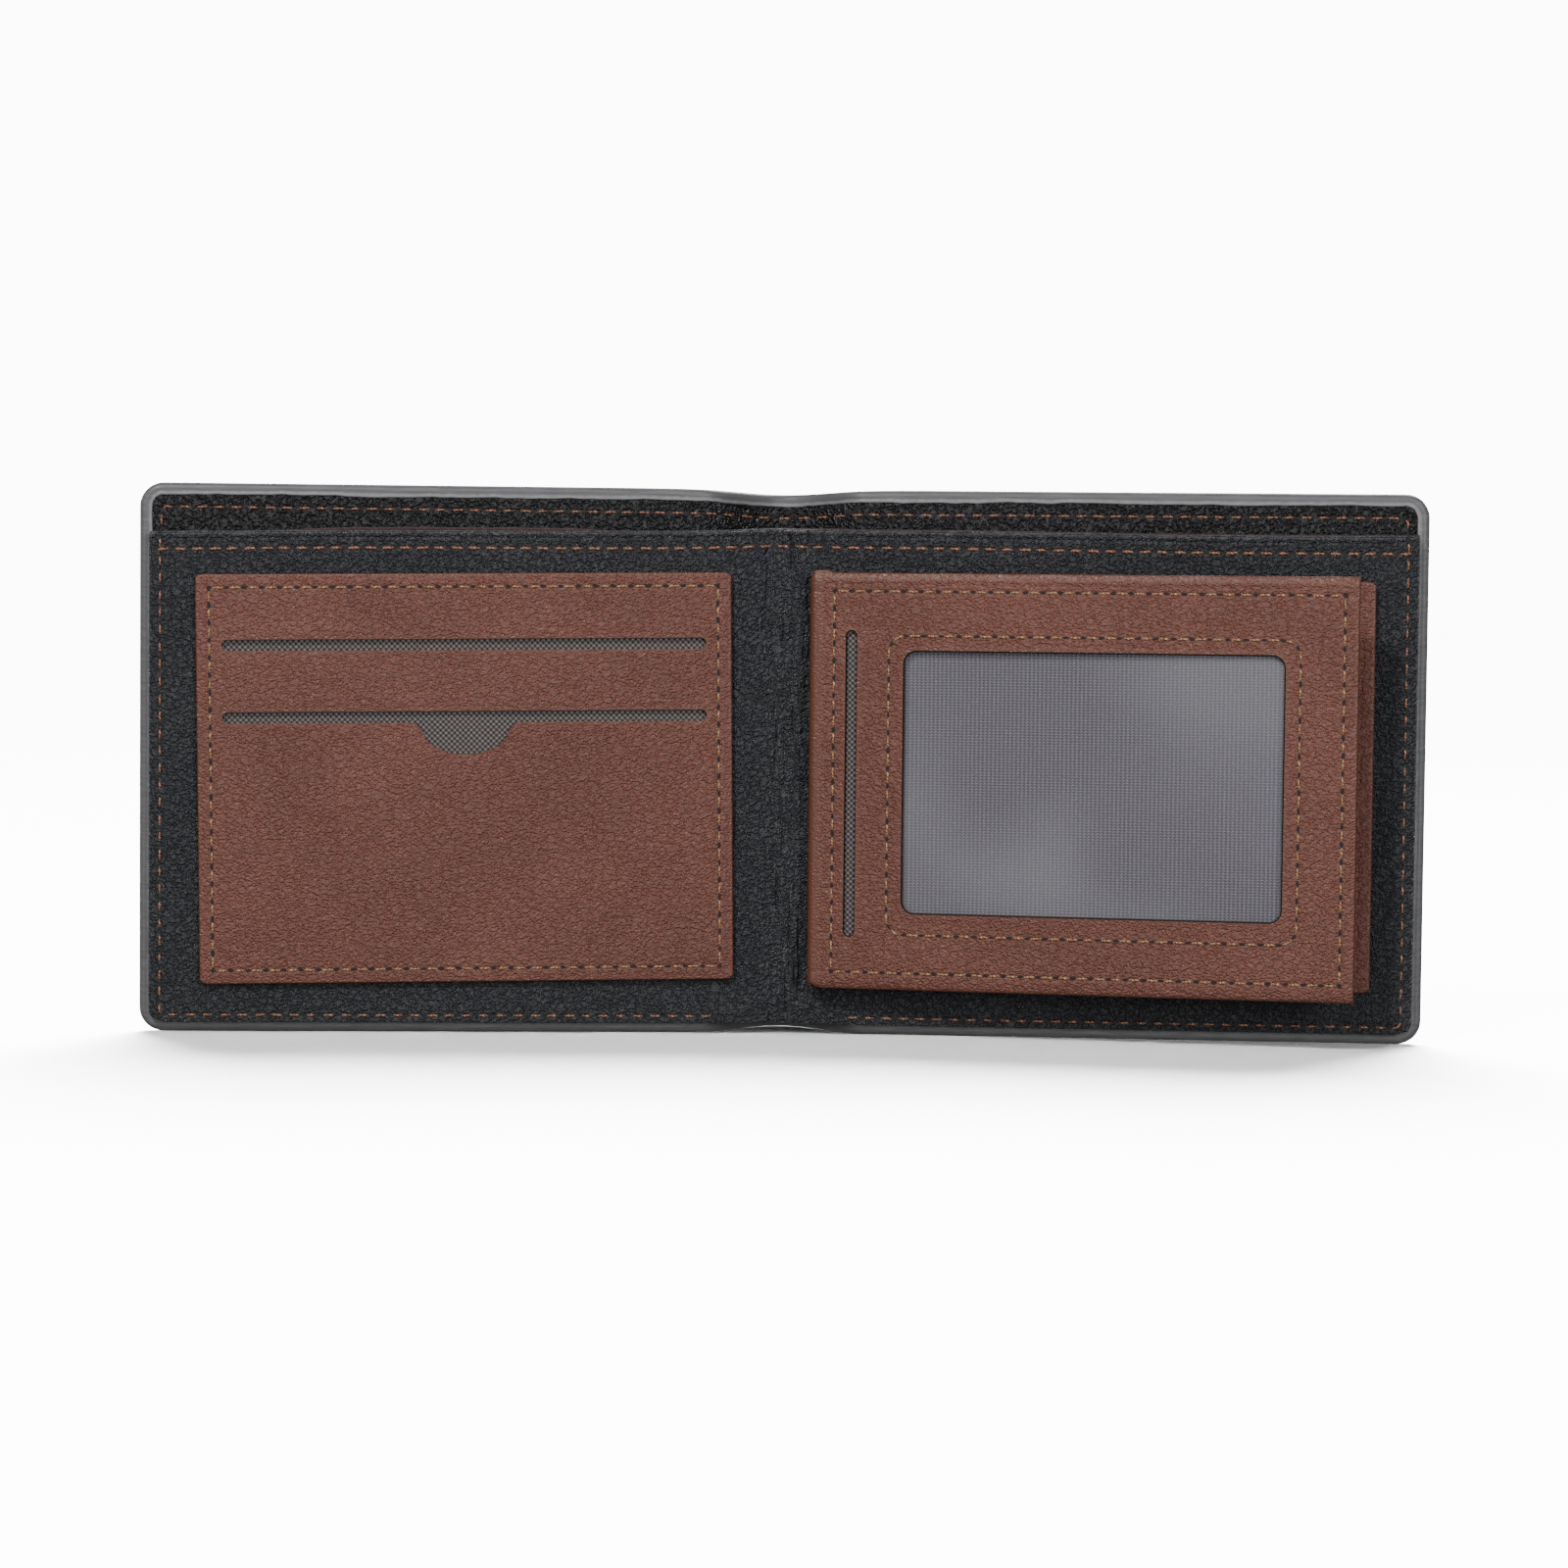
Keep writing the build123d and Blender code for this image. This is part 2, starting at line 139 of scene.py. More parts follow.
strip_division = 0.35          # the hinge strip's columns
sharp_edge = radians(50)
knife_reach = 40               # cutting blocks run this far either way


def smooth(value):
    """Eases a share from 0 to 1."""
    value = min(max(value, 0.0), 1.0)
    return value * value * (3 - 2 * value)


def bump_at(x, middle, spread):
    """A soft bump of height 1."""
    return exp(-((x - middle) / spread) ** 2)


def bulge(along):
    """How far the cover stands behind the wings at its spine."""
    share = min(abs(along) / spine_reach, 1.0)
    return spine_bulge * 0.5 * (1 + cos(pi * share))


def wallet_place(reach):
    """Turns the flat wallet about its fold; the turn is spread over this reach each side."""
    def place(along, level, up):
        share = smooth((reach - along) / (2 * reach))
        point = (fold_axis.x + along, face_y - level, up)
        return turned(point, fold_axis, fold_rest * share) * MM
    return place


place_cover = wallet_place(spine_reach)
place_panel = wallet_place(panel_reach)


def place_spine(along, level, up):
    """A cover layer, arched behind the fold."""
    return place_cover(along, level - bulge(along), up)


def place_flap(along, level, up):
    """The flap, turned about its hinge."""
    point = (fold_axis.x + along, face_y - level, up)
    return turned(point, hinge_axis, -flap_rest) * MM


def panel_top(along):
    """Top edge of the inner panel."""
    fold, left, right = panel_slope
    end = left if along < 0 else right
    rise = 0.25 * bump_at(along, -2, 9) + 0.12 * sin(along / 17)
    return fold + (end - fold) * abs(along) / wing_length + rise


def cover_top(along):
    """Top edge of the cover, a little lower over the spine."""
    return height - 0.75 * bump_at(along, 0, 12)


def cover_bottom(along):
    """Bottom edge of the cover, a little higher under the spine."""
    return 0.06 * bump_at(along, 0, 12)


def ripple(x, y, size, seed=0.0):
    """Slow random waves, from -1 to 1."""
    return noise.noise(Vector((x / size, y / size, seed)))


# ---------------------------------------------------------------- building flat plies
def steps(start, end, pitch):
    """Even places from start to end, about this far apart."""
    count = max(1, round((end - start) / pitch))
    return [start + (end - start) * i / count for i in range(count + 1)]


def spread(start, end, pitch, fine=()):
    """Places from start to end, closer at both ends and round each (middle, half, pitch)."""
    near = (0.0, 0.05, 0.15, 0.3, 0.5, 0.8)
    places = [start + n for n in near] + [end - n for n in near]
    places += [p for p in steps(start, end, pitch) if start + 1 < p < end - 1]
    for middle, half, close in fine:
        places += [p for p in steps(middle - half, middle + half, close) if start < p < end]
    places.sort()
    kept = [places[0]]
    for p in places[1:]:
        if p - kept[-1] > 0.04:
            kept.append(p)
    return kept


def quarter(depth, radius):
    """How far a rounded edge falls back at this distance from the outline."""
    if depth >= radius:
        return 0.0
    return radius - sqrt(max(radius * radius - (radius - depth) ** 2, 0.0))


def ply_mesh(alongs, rows, low, high, front, back, rounding):
    """A flat leather ply: two faces over a grid of columns and rows, rounded at its outline.

    Each row is a share of the height from low to high, and an offset added to it.
    """
    mesh = bmesh.new()
    faces = []
    for side in (front, back):
        grid = []
        for along in alongs:
            bottom, top = low(along), high(along)
            tall = top - bottom
            ends = min(along - alongs[0], alongs[-1] - along)
            column = []
            for share, offset in rows:
                up = bottom + share * tall + offset
                depth = min(up - bottom, top - up, ends)
                level = side(along, up)
                other = back(along, up) if side is front else front(along, up)
                fall = quarter(depth, rounding)
                fall = min(fall, abs(level - other) * 0.48)
                level += fall if other > level else -fall
                column.append(mesh.verts.new((along, level, up)))
            grid.append(column)
        faces.append(grid)
    for index, grid in enumerate(faces):
        for a, b in zip(grid, grid[1:]):
            for j in range(len(a) - 1):
                quad = (a[j], b[j], b[j + 1], a[j + 1])
                mesh.faces.new(quad if index == 0 else quad[::-1])
    outline = []
    for grid in faces:
        loop = [column[0] for column in grid] + grid[-1][1:]
        loop += [column[-1] for column in reversed(grid[:-1])] + grid[0][-2:0:-1]
        outline.append(loop)
    ring = list(zip(*outline))
    for (a, c), (b, d) in zip(ring, ring[1:] + ring[:1]):
        mesh.faces.new((b, a, c, d))
    return mesh


def row_plan(tall, pitch, from_bottom=(), from_top=()):
    """Rows as (share of the height, offset), fine near both edges and round the given seams."""
    places = spread(0.0, tall, pitch, [(b, 0.9, 0.15) for b in from_bottom]
                    + [(tall - t, 0.9, 0.15) for t in from_top])
    rows = []
    for p in places:
        if p < edge_zone:
            rows.append((0.0, p))
        elif tall - p < edge_zone:
            rows.append((1.0, p - tall))
        else:
            share = (p - edge_zone) / (tall - 2 * edge_zone)
            rows.append((share, edge_zone - 2 * edge_zone * share))
    return rows


def even_rows(tall, pitch, fine=()):
    """Rows of a ply of one height."""
    return [(p / tall, 0.0) for p in spread(0.0, tall, pitch, fine)]


def add_object(name, data):
    """Links a new object to the scene."""
    thing = bpy.data.objects.new(name, data)
    bpy.context.scene.collection.objects.link(thing)
    return thing


def mesh_object(name, mesh, material=None):
    """Turns a mesh that is being edited into an object."""
    data = bpy.data.meshes.new(name)
    mesh.to_mesh(data)
    mesh.free()
    if material:
        data.materials.append(material)
    return add_object(name, data)


def fasten(pieces, body, slot_name, *nodes):
    """Fixes pieces to a body and hides the frame nodes named."""
    for piece in pieces:
        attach(piece, body)
    if nodes:
        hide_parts(*nodes)


def skin(mesh, loops, closed=True):
    """Faces between neighbouring rings of points."""
    for a, b in zip(loops, loops[1:] + (loops[:1] if closed else [])):
        for i in range(len(a)):
            j = (i + 1) % len(a)
            mesh.faces.new((a[i], a[j], b[j], b[i]))


def as_object(name, mesh, place, material, border=None):
    """Turns a flat mesh into a finished piece, with its flat layout kept as its texture map."""
    bmesh.ops.remove_doubles(mesh, verts=mesh.verts, dist=0.0005)
    bmesh.ops.recalc_face_normals(mesh, faces=mesh.faces)
    layout = mesh.loops.layers.uv.new("flat_layout")
    edge = mesh.verts.layers.float.new("edge_distance")
    for vert in mesh.verts:
        along, level, up = vert.co
        vert[edge] = border(along, up) if border else free_inside
    for face in mesh.faces:
        face.smooth = True
        for loop in face.loops:
            along, level, up = loop.vert.co
            loop[layout].uv = (along + 0.7 * level, up + 0.7 * level)
    for vert in mesh.verts:
        vert.co = place(*vert.co)
    bmesh.ops.recalc_face_normals(mesh, faces=mesh.faces)
    piece = mesh_object(name, mesh, material)
    piece.data.set_sharp_from_angle(angle=sharp_edge)
    return piece


def cut(mesh, outlines):
    """Cuts openings through a flat ply; each outline is a list of (along, up) points."""
    bpy.context.view_layer.update()
    body = mesh_object("ply", mesh)
    knives = bmesh.new()
    for outline in outlines:
        loops = []
        for level in (-knife_reach, knife_reach):
            loops.append([knives.verts.new((a, level, u)) for a, u in outline])
        knives.faces.new(loops[0])
        knives.faces.new(loops[1][::-1])
        for i in range(len(outline)):
            j = (i + 1) % len(outline)
            knives.faces.new((loops[0][j], loops[0][i], loops[1][i], loops[1][j]))
    bmesh.ops.recalc_face_normals(knives, faces=knives.faces)
    knife = mesh_object("knife", knives)
    boolean = body.modifiers.new("cut", "BOOLEAN")
    boolean.operation = "DIFFERENCE"
    boolean.solver = "EXACT"
    boolean.object = knife
    depsgraph = bpy.context.evaluated_depsgraph_get()
    result = bpy.data.meshes.new_from_object(body.evaluated_get(depsgraph))
    finished = bmesh.new()
    finished.from_mesh(result)
    for scrap in (body, knife):
        data = scrap.data
        bpy.data.objects.remove(scrap)
        bpy.data.meshes.remove(data)
    bpy.data.meshes.remove(result)
    return finished


def rounded_outline(left, bottom, right, top, radius, detail=10):
    """Points round a rectangle with rounded corners."""
    points = []
    middles = ((right - radius, bottom + radius, -90), (right - radius, top - radius, 0),
               (left + radius, top - radius, 90), (left + radius, bottom + radius, 180))
    for x, y, start in middles:
        for i in range(detail + 1):
            angle = radians(start + 90 * i / detail)
            points.append((x + radius * cos(angle), y + radius * sin(angle)))
    return points


def slot_outline(middle_x, middle_y, length, width, upright=False):
    """A card slot with round ends."""
    half_x, half_y = (width / 2, length / 2) if upright else (length / 2, width / 2)
    return rounded_outline(middle_x - half_x, middle_y - half_y,
                           middle_x + half_x, middle_y + half_y, width / 2, 12)


# ---------------------------------------------------------------- shader groups
def new_group(name, inputs, outputs):
    """A shader group with named sockets; inputs and outputs are (name, kind, default)."""
    tree = bpy.data.node_groups.new(name, "ShaderNodeTree")
    kinds = {"value": "NodeSocketFloat", "colour": "NodeSocketColor", "vector": "NodeSocketVector"}
    for title, kind, default in inputs:
        socket = tree.interface.new_socket(title, in_out="INPUT", socket_type=kinds[kind])
        if default is not None:
            socket.default_value = default
    for title, kind in outputs:
        tree.interface.new_socket(title, in_out="OUTPUT", socket_type=kinds[kind])
    start = tree.nodes.new("NodeGroupInput")
    end = tree.nodes.new("NodeGroupOutput")
    return tree, start, end


def maths(tree, operation, a, b=None, c=None):
    """A math node with numbers or sockets as its inputs."""
    node = tree.nodes.new("ShaderNodeMath")
    node.operation = operation
    for socket, value in zip(node.inputs, (a, b, c)):
        feed(tree, socket, value)
    return node.outputs[0]


def feed(tree, socket, value):
    """Links a socket or sets a plain value."""
    if value is None:
        return
    if isinstance(value, bpy.types.NodeSocket):
        tree.links.new(value, socket)
    else:
        socket.default_value = value


def mix(tree, share, a, b):
    """Mixes two colours."""
    node = tree.nodes.new("ShaderNodeMix")
    node.data_type = "RGBA"
    feed(tree, node.inputs[0], share)
    feed(tree, node.inputs[6], a)
    feed(tree, node.inputs[7], b)
    return node.outputs[2]


def remap(tree, value, low, high, to_low, to_high):
    """Eases a value from one range to another, clamped."""
    node = tree.nodes.new("ShaderNodeMapRange")
    node.interpolation_type = "SMOOTHSTEP"
    feed(tree, node.inputs["Value"], value)
    for title, number in zip(("From Min", "From Max", "To Min", "To Max"),
                             (low, high, to_low, to_high)):
        feed(tree, node.inputs[title], number)
    return node.outputs[0]


def noise_node(tree, vector, scale, detail, rough, distortion=0.0):
    """A noise texture's value."""
    node = tree.nodes.new("ShaderNodeTexNoise")
    for title, value in (("Vector", vector), ("Scale", scale), ("Detail", detail),
                         ("Roughness", rough), ("Distortion", distortion)):
        feed(tree, node.inputs[title], value)
    return node.outputs["Fac"]


def cells(tree, vector, scale, feature="F1", smoothness=None):
    """A Voronoi texture's distance."""
    node = tree.nodes.new("ShaderNodeTexVoronoi")
    node.feature = feature
    feed(tree, node.inputs["Vector"], vector)
    feed(tree, node.inputs["Scale"], scale)
    if smoothness is not None:
        node.inputs["Smoothness"].default_value = smoothness
    return node.outputs["Distance"]


def build_grain_group():
    """Pebbled leather grain: height, pore mask and crest mask, from the flat layout in mm; the
    leathers paint highlights on the crests.
    """
    tree, start, end = new_group("leather_grain", [
        ("Layout", "vector", None), ("Pebble", "value", 2.4), ("Stretch", "value", 1.0),
        ("Crease", "value", 0.5)],
        [("Height", "value"), ("Pores", "value"), ("Crests", "value"), ("Drift", "value")])
    stretch = tree.nodes.new("ShaderNodeCombineXYZ")
    feed(tree, stretch.inputs[0], start.outputs["Stretch"])
    stretch.inputs[1].default_value = 1.0
    stretch.inputs[2].default_value = 1.0
    scaled = tree.nodes.new("ShaderNodeVectorMath")
    scaled.operation = "MULTIPLY"
    feed(tree, scaled.inputs[0], start.outputs["Layout"])
    feed(tree, scaled.inputs[1], stretch.outputs[0])
    layout = scaled.outputs[0]
    warp = tree.nodes.new("ShaderNodeTexNoise")
    feed(tree, warp.inputs["Vector"], layout)
    warp.inputs["Scale"].default_value = 0.9
    warp.inputs["Detail"].default_value = 2.0
    pushed = tree.nodes.new("ShaderNodeVectorMath")
    pushed.operation = "MULTIPLY_ADD"
    feed(tree, pushed.inputs[0], warp.outputs["Color"])
    pushed.inputs[1].default_value = (0.55, 0.55, 0.55)
    feed(tree, pushed.inputs[2], layout)
    pebble = cells(tree, pushed.outputs[0], start.outputs["Pebble"], "SMOOTH_F1", 0.35)
    rounded = remap(tree, pebble, 0.05, 0.62, 1.0, 0.0)
    fine_scale = maths(tree, "MULTIPLY", start.outputs["Pebble"], 2.6)
    fine = noise_node(tree, pushed.outputs[0], fine_scale, 4.0, 0.62)
    crease_scale = maths(tree, "MULTIPLY", start.outputs["Pebble"], 0.33)
    crease = cells(tree, pushed.outputs[0], crease_scale, "DISTANCE_TO_EDGE")
    valley = remap(tree, crease, 0.0, 0.16, 1.0, 0.0)
    valley = maths(tree, "MULTIPLY", valley, start.outputs["Crease"])
    height_value = maths(tree, "MULTIPLY_ADD", fine, 0.45, rounded)
    height_value = maths(tree, "SUBTRACT", height_value, valley)
    feed(tree, end.inputs["Height"], height_value)
    feed(tree, end.inputs["Pores"], remap(tree, height_value, 0.1, 0.55, 1.0, 0.0))
    feed(tree, end.inputs["Crests"], remap(tree, height_value, 0.95, 1.25, 0.0, 1.0))
    feed(tree, end.inputs["Drift"], noise_node(tree, start.outputs["Layout"], 0.035, 3.0, 0.6, 0.4))
    return tree


def build_edge_closeness_group():
    """How close the surface is to the cut outline, made uneven: a band that the materials colour.
    """
    tree, start, end = new_group("edge_closeness", [
        ("Layout", "vector", None), ("Distance", "value", 9.0), ("Width", "value", 0.6)],
        [("Closeness", "value")])
    uneven = noise_node(tree, start.outputs["Layout"], 0.8, 3.0, 0.6)
    uneven = maths(tree, "MULTIPLY_ADD", uneven, 0.6, -0.3)
    distance = maths(tree, "ADD", start.outputs["Distance"], uneven)
    feed(tree, end.inputs["Closeness"], remap(tree, distance, 0.0, start.outputs["Width"], 1.0, 0.0))
    return tree


def build_weave_group():
    """Plain basket weave: height of the yarns, a mask of the open holes between them, where painted
    shade goes, and of the yarn crossings, where painted highlights go.
    """
    tree, start, end = new_group("yarn_weave", [
        ("Layout", "vector", None), ("Across", "value", 1.8), ("Up", "value", 1.8)],
        [("Height", "value"), ("Hole Shade", "value"), ("Glints", "value")])
    split = tree.nodes.new("ShaderNodeSeparateXYZ")
    feed(tree, split.inputs[0], start.outputs["Layout"])
    waves = []
    for axis, title in ((0, "Across"), (1, "Up")):
        turns = maths(tree, "MULTIPLY", split.outputs[axis], start.outputs[title])
        turns = maths(tree, "MULTIPLY", turns, 2 * pi)
        half_turns = maths(tree, "MULTIPLY", turns, 0.5)
        waves.append((maths(tree, "SINE", turns), maths(tree, "SINE", half_turns)))
    yarn_x = maths(tree, "ABSOLUTE", waves[0][1])
    yarn_y = maths(tree, "ABSOLUTE", waves[1][1])
    over = maths(tree, "MULTIPLY", waves[0][0], waves[1][0])
    highest = maths(tree, "MAXIMUM", yarn_x, yarn_y)
    height_value = maths(tree, "MULTIPLY_ADD", over, 0.25, highest)
    lowest = maths(tree, "MINIMUM", yarn_x, yarn_y)
    feed(tree, end.inputs["Height"], height_value)
    feed(tree, end.inputs["Hole Shade"], remap(tree, highest, 0.45, 0.75, 1.0, 0.0))
    speck = noise_node(tree, start.outputs["Layout"], 1.4, 3.0, 0.6)
    glints = maths(tree, "MULTIPLY", remap(tree, lowest, 0.62, 0.95, 0.0, 1.0),
                 remap(tree, speck, 0.3, 0.7, 0.45, 1.0))
    feed(tree, end.inputs["Glints"], glints)
    return tree


def build_mottle_group():
    """Uneven colour and gloss: a drift between two tones, slow or fine."""
    tree, start, end = new_group("mottle", [
        ("Layout", "vector", None), ("Scale", "value", 1.0), ("Detail", "value", 3.0),
        ("Coarse", "value", 0.6), ("Warp", "value", 0.0), ("Tone A", "colour", None),
        ("Tone B", "colour", None), ("Matt", "value", 0.6), ("Gloss", "value", 0.4)],
        [("Share", "value"), ("Colour", "colour"), ("Roughness", "value")])
    given = start.outputs
    share = noise_node(tree, given["Layout"], given["Scale"], given["Detail"], given["Coarse"],
                       given["Warp"])
    feed(tree, end.inputs["Share"], share)
    feed(tree, end.inputs["Colour"], mix(tree, share, given["Tone A"], given["Tone B"]))
    feed(tree, end.inputs["Roughness"], remap(tree, share, 0.3, 0.7, given["Matt"], given["Gloss"]))
    return tree


grain_group = build_grain_group()
mottle_group = build_mottle_group()
closeness_group = build_edge_closeness_group()
weave_group = build_weave_group()


# ---------------------------------------------------------------- materials
class Finish:
    """One material with its Principled shader and flat layout ready."""

    def __init__(self, name, roughness=0.5):
        self.material = bpy.data.materials.new(name)
        self.material.use_nodes = True
        self.tree = self.material.node_tree
        self.shader = self.tree.nodes["Principled BSDF"]
        self.shader.inputs["Roughness"].default_value = roughness
        uv = self.tree.nodes.new("ShaderNodeUVMap")
        uv.uv_map = "flat_layout"
        self.layout = uv.outputs[0]
        attribute = self.tree.nodes.new("ShaderNodeAttribute")
        attribute.attribute_name = "edge_distance"
        self.distance = attribute.outputs["Fac"]

    def group(self, tree, **values):
        """Places a shader group with its own values."""
        node = self.tree.nodes.new("ShaderNodeGroup")
        node.node_tree = tree
        for title, value in values.items():
            feed(self.tree, node.inputs[title.replace("_", " ")], value)
        return node.outputs

    def mottle(self, scale, detail, **values):
        """Uneven tone over the flat layout."""
        return self.group(mottle_group, **{"Layout": self.layout, "Scale": scale,
                                           "Detail": detail, **values})

    def bump(self, height_value, distance, strength=1.0):
        """Raises the surface by up to this distance, in mm."""
        node = self.tree.nodes.new("ShaderNodeBump")
        node.inputs["Strength"].default_value = strength
        node.inputs["Distance"].default_value = distance * MM
        feed(self.tree, node.inputs["Height"], height_value)
        feed(self.tree, self.shader.inputs["Normal"], node.outputs[0])

    def set(self, **values):
        """Feeds the Principled shader's sockets."""
        for title, value in values.items():
            feed(self.tree, self.shader.inputs[title.replace("_", " ")], value)


def leather(name, base, light, dark, pebble, depth, rough, crease, edge_colour, edge_colour_share=0.35,
            stretch=1.0, edge_width=0.5, sparkle=0.0, crest_highlight_gain=1.7):
    """A grained leather or coated lining."""
    finish = Finish(name)
    tree = finish.tree
    grain = finish.group(grain_group, Layout=finish.layout, Pebble=pebble, Stretch=stretch,
                         Crease=crease)
    edge_near = finish.group(closeness_group, Layout=finish.layout, Distance=finish.distance,
                        Width=edge_width)
    drift = remap(tree, grain["Drift"], 0.32, 0.68, 0.0, 1.0)
    colour = mix(tree, drift, base, light)
    pores = maths(tree, "MULTIPLY", grain["Pores"], 0.7)
    colour = mix(tree, pores, colour, dark)
    # Painted highlight: the grain's crests are lightened, standing in for the sparkle of light on
    # them.
    crest_highlight = maths(tree, "MULTIPLY", grain["Crests"], 0.5)
    colour = mix(tree, crest_highlight, colour, [min(1.0, crest_highlight_gain * c) for c in light[:3]] + [1])
    # Colour towards the cut edges. On the brown leather this darker band is partly its burnished
    # edge and partly painted shade, which covers the flap's whole rolled hinge edge; on the other
    # leathers it is a lighter band.
    edge_mix = maths(tree, "MULTIPLY", edge_near["Closeness"], edge_colour_share)
    colour = mix(tree, edge_mix, colour, edge_colour)
    roughness = remap(tree, grain["Height"], 0.2, 1.3, rough + 0.14, rough - 0.1)
    finish.set(Base_Color=colour, Roughness=roughness)
    finish.shader.inputs["Specular IOR Level"].default_value = 0.5 + sparkle
    flattened = maths(tree, "MULTIPLY_ADD", edge_near["Closeness"], -0.75, 1.0)
    finish.bump(maths(tree, "MULTIPLY", grain["Height"], flattened), depth)
    return finish.material


cover_hide = leather(
    "cover_hide", base=(0.030, 0.031, 0.035, 1), light=(0.040, 0.041, 0.046, 1),
    dark=(0.008, 0.008, 0.010, 1), pebble=1.6, depth=0.16, rough=0.42, crease=0.6,
    edge_colour=(0.09, 0.09, 0.095, 1))
lining_hide = leather(
    "lining_hide", base=(0.012, 0.012, 0.014, 1), light=(0.020, 0.020, 0.023, 1),
    dark=(0.003, 0.003, 0.004, 1), pebble=1.6, depth=0.52, rough=0.25, crease=0.5,
    sparkle=0.25, crest_highlight_gain=11.0, edge_colour=(0.05, 0.05, 0.055, 1), edge_colour_share=0.2)
panel_hide = leather(
    "panel_hide", base=(0.026, 0.028, 0.035, 1), light=(0.036, 0.038, 0.046, 1),
    dark=(0.006, 0.006, 0.008, 1), pebble=1.9, depth=0.44, rough=0.29, crease=0.35,
    sparkle=0.2, crest_highlight_gain=8.0, edge_colour=(0.10, 0.10, 0.11, 1), edge_colour_share=0.6, edge_width=0.35)
# Its edge colour is a darker rust: partly burnished edge, partly painted shade of the flap's rolled
# hinge edge.
brown_hide = leather(
    "brown_hide", base=(0.190, 0.065, 0.044, 1), light=(0.245, 0.088, 0.063, 1),
    dark=(0.100, 0.031, 0.021, 1), pebble=2.1, depth=0.25, rough=0.31, crease=0.3,
    sparkle=0.05, stretch=0.8, edge_colour=(0.125, 0.038, 0.019, 1), edge_colour_share=0.8, edge_width=1.1)
bill_hide = leather(
    "bill_hide", base=(0.050, 0.020, 0.018, 1), light=(0.075, 0.031, 0.029, 1),
    dark=(0.012, 0.005, 0.005, 1), pebble=2.0, depth=0.12, rough=0.6, crease=0.4,
    edge_colour=(0.09, 0.045, 0.04, 1), edge_colour_share=0.5)


def build_felt():
    """Pressed fibre board between the plies."""
    finish = Finish("pressed_felt", 0.9)
    fibre = finish.mottle(2.2, 6.0, Coarse=0.7, Warp=1.5, Tone_A=(0.10, 0.095, 0.09, 1),
                          Tone_B=(0.22, 0.21, 0.20, 1), Matt=0.95, Gloss=0.8)
    finish.set(Base_Color=fibre["Colour"], Roughness=fibre["Roughness"])
    finish.bump(fibre["Share"], 0.1)
    return finish.material


def build_edge_paint():
    """Grey rubbery edge paint, drawn along the rim in two passes, with a painted highlight along
    the crest of its lip.
    """
    finish = Finish("grey_edge_paint", 0.4)
    tree = finish.tree
    split = tree.nodes.new("ShaderNodeSeparateXYZ")
    feed(tree, split.inputs[0], finish.layout)
    streak_at = tree.nodes.new("ShaderNodeCombineXYZ")
    feed(tree, streak_at.inputs[0], maths(tree, "MULTIPLY", split.outputs[0], 0.15))
    feed(tree, streak_at.inputs[1], maths(tree, "MULTIPLY", split.outputs[1], 2.0))
    streak = noise_node(tree, streak_at.outputs[0], 1.0, 4.0, 0.6)
    blotch = finish.mottle(0.25, 3.0, Matt=0.38, Gloss=0.52)
    edge_near = finish.group(closeness_group, Layout=finish.layout, Distance=finish.distance, Width=0.5)
    colour = mix(tree, remap(tree, streak, 0.35, 0.65, 0.0, 1.0),
                 (0.112, 0.112, 0.117, 1), (0.155, 0.155, 0.162, 1))
    dulled = maths(tree, "MULTIPLY", blotch["Share"], 0.4)
    colour = mix(tree, dulled, colour, (0.11, 0.11, 0.115, 1))
    # Painted highlight: lighter grey along the crest of the rim's lip.
    colour = mix(tree, maths(tree, "MULTIPLY", edge_near["Closeness"], 0.7), colour, (0.30, 0.30, 0.31, 1))
    finish.set(Base_Color=colour, Roughness=blotch["Roughness"])
    finish.bump(maths(tree, "ADD", streak, blotch["Share"]), 0.05)
    return finish.material


def build_pocket_weave(name, across, up, yarn, deep, glint_colour, turn=0.0):
    """Woven pocket mesh, with painted shade in its holes and painted highlights on its yarn
    crossings.
    """
    finish = Finish(name, 0.55)
    tree = finish.tree
    turning = tree.nodes.new("ShaderNodeVectorRotate")
    turning.rotation_type = "Z_AXIS"
    turning.inputs["Angle"].default_value = turn
    feed(tree, turning.inputs["Vector"], finish.layout)
    weave = finish.group(weave_group, Layout=turning.outputs[0], Across=across, Up=up)
    blotch = finish.mottle(0.5, 3.0, Tone_A=yarn, Tone_B=[c * 1.35 for c in yarn[:3]] + [1])
    # Painted shade: the holes take a near-black colour for the shaded pocket behind; painted
    # highlight: light specks on the yarn crossings.
    colour = mix(tree, weave["Hole Shade"], blotch["Colour"], deep)
    colour = mix(tree, weave["Glints"], colour, glint_colour)
    finish.set(Base_Color=colour, Roughness=remap(tree, weave["Height"], 0.5, 1.2, 0.7, 0.42))
    finish.bump(weave["Height"], 0.12)
    return finish.material


